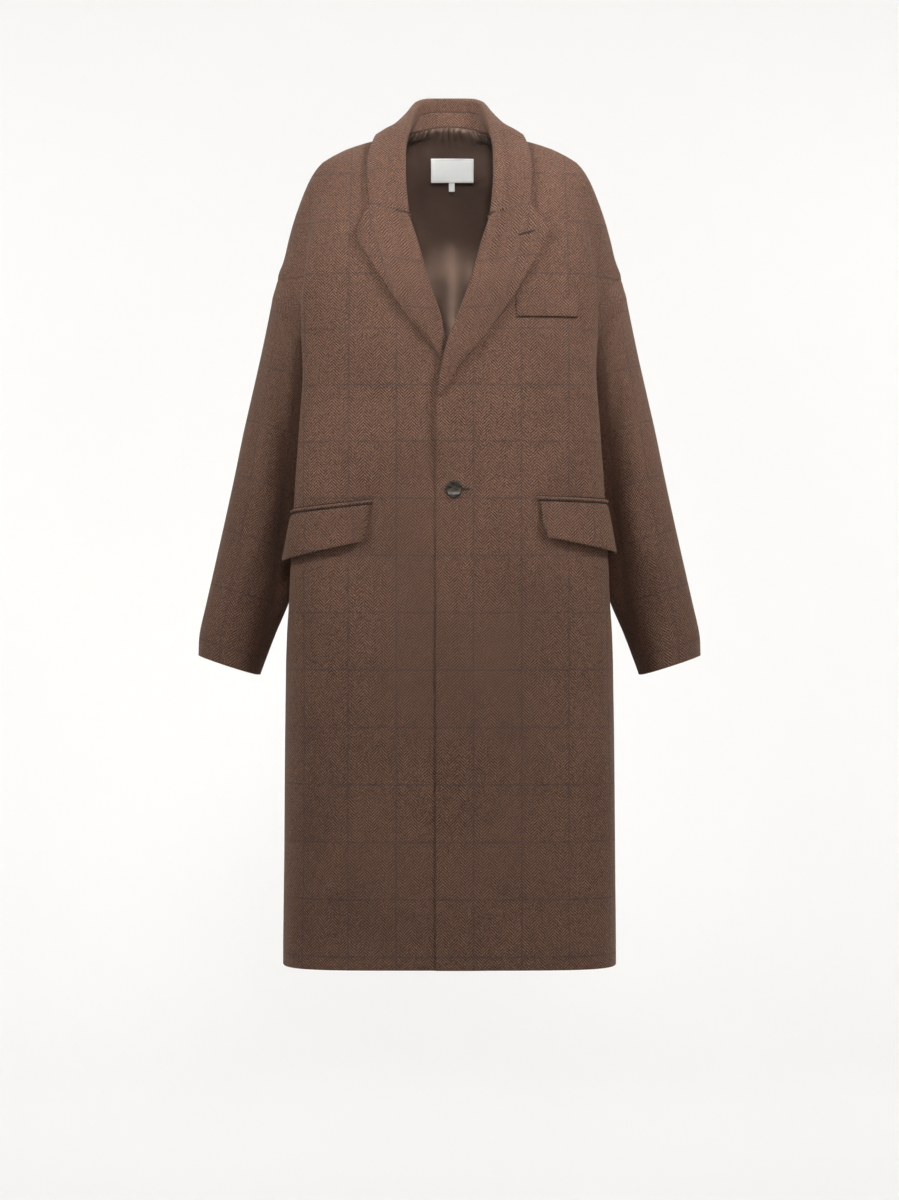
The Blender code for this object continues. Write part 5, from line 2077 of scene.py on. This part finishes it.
@dataclass
class Studio:
    """Pale sweep, soft lights and the level camera in front of the coat."""

    distance: float = 4.0
    eye_z: float = -0.609
    view_height: float = 1.680
    floor_z: float = -2.0
    near_y: float = -7.0
    bend_y: float = 4.5
    bend: float = 1.5
    wall: float = 5.0
    width: float = 20.0

    def sweep(self) -> bpy.types.Object:
        """Floor that curves up behind the coat into a backdrop."""
        bm = bmesh.new()
        bmesh.ops.create_grid(bm, x_segments=1, y_segments=40, size=0.5)
        for vert in bm.verts:
            share = vert.co.y + 0.5
            vert.co.x *= self.width
            if share < 0.4:
                vert.co.y, vert.co.z = between(self.near_y, self.bend_y, share / 0.4), self.floor_z
            elif share < 0.7:
                angle = 0.5 * math.pi * (share - 0.4) / 0.3
                vert.co.y = self.bend_y + self.bend * math.sin(angle)
                vert.co.z = self.floor_z + self.bend * (1.0 - math.cos(angle))
            else:
                vert.co.y = self.bend_y + self.bend
                vert.co.z = self.floor_z + self.bend + self.wall * (share - 0.7) / 0.3
        for face in bm.faces:
            face.smooth = True
        bmesh.ops.recalc_face_normals(bm, faces=bm.faces)
        made = new_object("studio_sweep", bm)
        paint, sketch, shader = blank_material("studio_paint")
        tone = sketch.noise(sketch.place(), 0.6, 1.0)
        sketch.feed(shader, {
            "Base Color": sketch.mix(tone, (0.86, 0.85, 0.84), (0.90, 0.89, 0.875)), "Roughness": 0.9,
            "Specular IOR Level": 0.1})
        made.data.materials.append(paint)
        return made

    def lamp(self, name: str, place: Triple, aim: Triple,
             size: Pair, power: float, beam: float = 180.0) -> bpy.types.Object:
        """Soft rectangular light.

        Args:
            name: Name of the light.
            place: Where it stands.
            aim: What it points at.
            size: Width and height.
            power: Watts.
            beam: Angle of its beam in degrees.

        Returns:
            The light.
        """
        data = bpy.data.lights.new(name, "AREA")
        data.shape = "RECTANGLE"
        data.size, data.size_y = size
        data.energy = power
        data.spread = math.radians(beam)
        made = bpy.data.objects.new(name, data)
        made.location = place
        made.rotation_euler = (Vector(aim) - Vector(place)).to_track_quat("-Z", "Y").to_euler()
        bpy.context.scene.collection.objects.link(made)
        return made

    def build(self) -> None:
        """Set the sweep, the lights, the world and the camera."""
        scene = bpy.context.scene
        self.sweep()
        self.lamp("key", (2.2, -1.6, 1.8), (0.0, 0.0, -0.35), (0.8, 0.8), 82.0)
        self.lamp("fill", (-2.26, -1.64, 1.7), (0.0, 0.0, -0.35), (0.8, 0.8), 67.0)
        self.lamp("front", (0.15, -4.0, 0.9), (0.01, 0.0, -0.04), (0.5, 0.5), 1.5, 22.0)
        self.lamp("neck", (0.10, -4.0, 0.7), (0.003, 0.07, -0.005), (0.2, 0.2), 0.055, 5.0)
        self.lamp("floor", (0.0, 2.6, 3.2), (0.0, 3.4, -2.0), (5.0, 2.0), 126.0)
        for name, side in (("backdrop_left", -1.0), ("backdrop_right", 1.0)):
            self.lamp(name, (4.2 * side, 3.2, 0.2), (1.2 * side, 6.0, -0.35), (1.8, 4.0), 75.0)
        world = bpy.data.worlds.new("studio")
        world.use_nodes = True
        background = world.node_tree.nodes["Background"]
        Sketch(world.node_tree).feed(background, {0: (1.0, 0.99, 0.975, 1.0), 1: 0.08})
        scene.world = world
        scene.view_settings.view_transform = "Standard"
        data = bpy.data.cameras.new("camera")
        data.sensor_width = 36.0
        data.lens = 36.0 * self.distance / self.view_height
        camera = bpy.data.objects.new("camera", data)
        camera.location = (0.0, -self.distance, self.eye_z)
        camera.rotation_euler = (math.pi / 2.0, 0.0, 0.0)
        scene.collection.objects.link(camera)
        scene.camera = camera


def main() -> None:
    """Build the coat piece by piece, then the studio around it."""
    logging.basicConfig(level=logging.INFO, format="%(name)s %(message)s")
    BodyPanels().build()
    Sleeves().build()
    turned = CollarAndLapels()
    turned.build()
    Pockets().build()
    Inside().build()
    Fastening().build(turned.lapel(Side.LEFT))
    Studio().build()


if __name__ == "__main__":
    main()
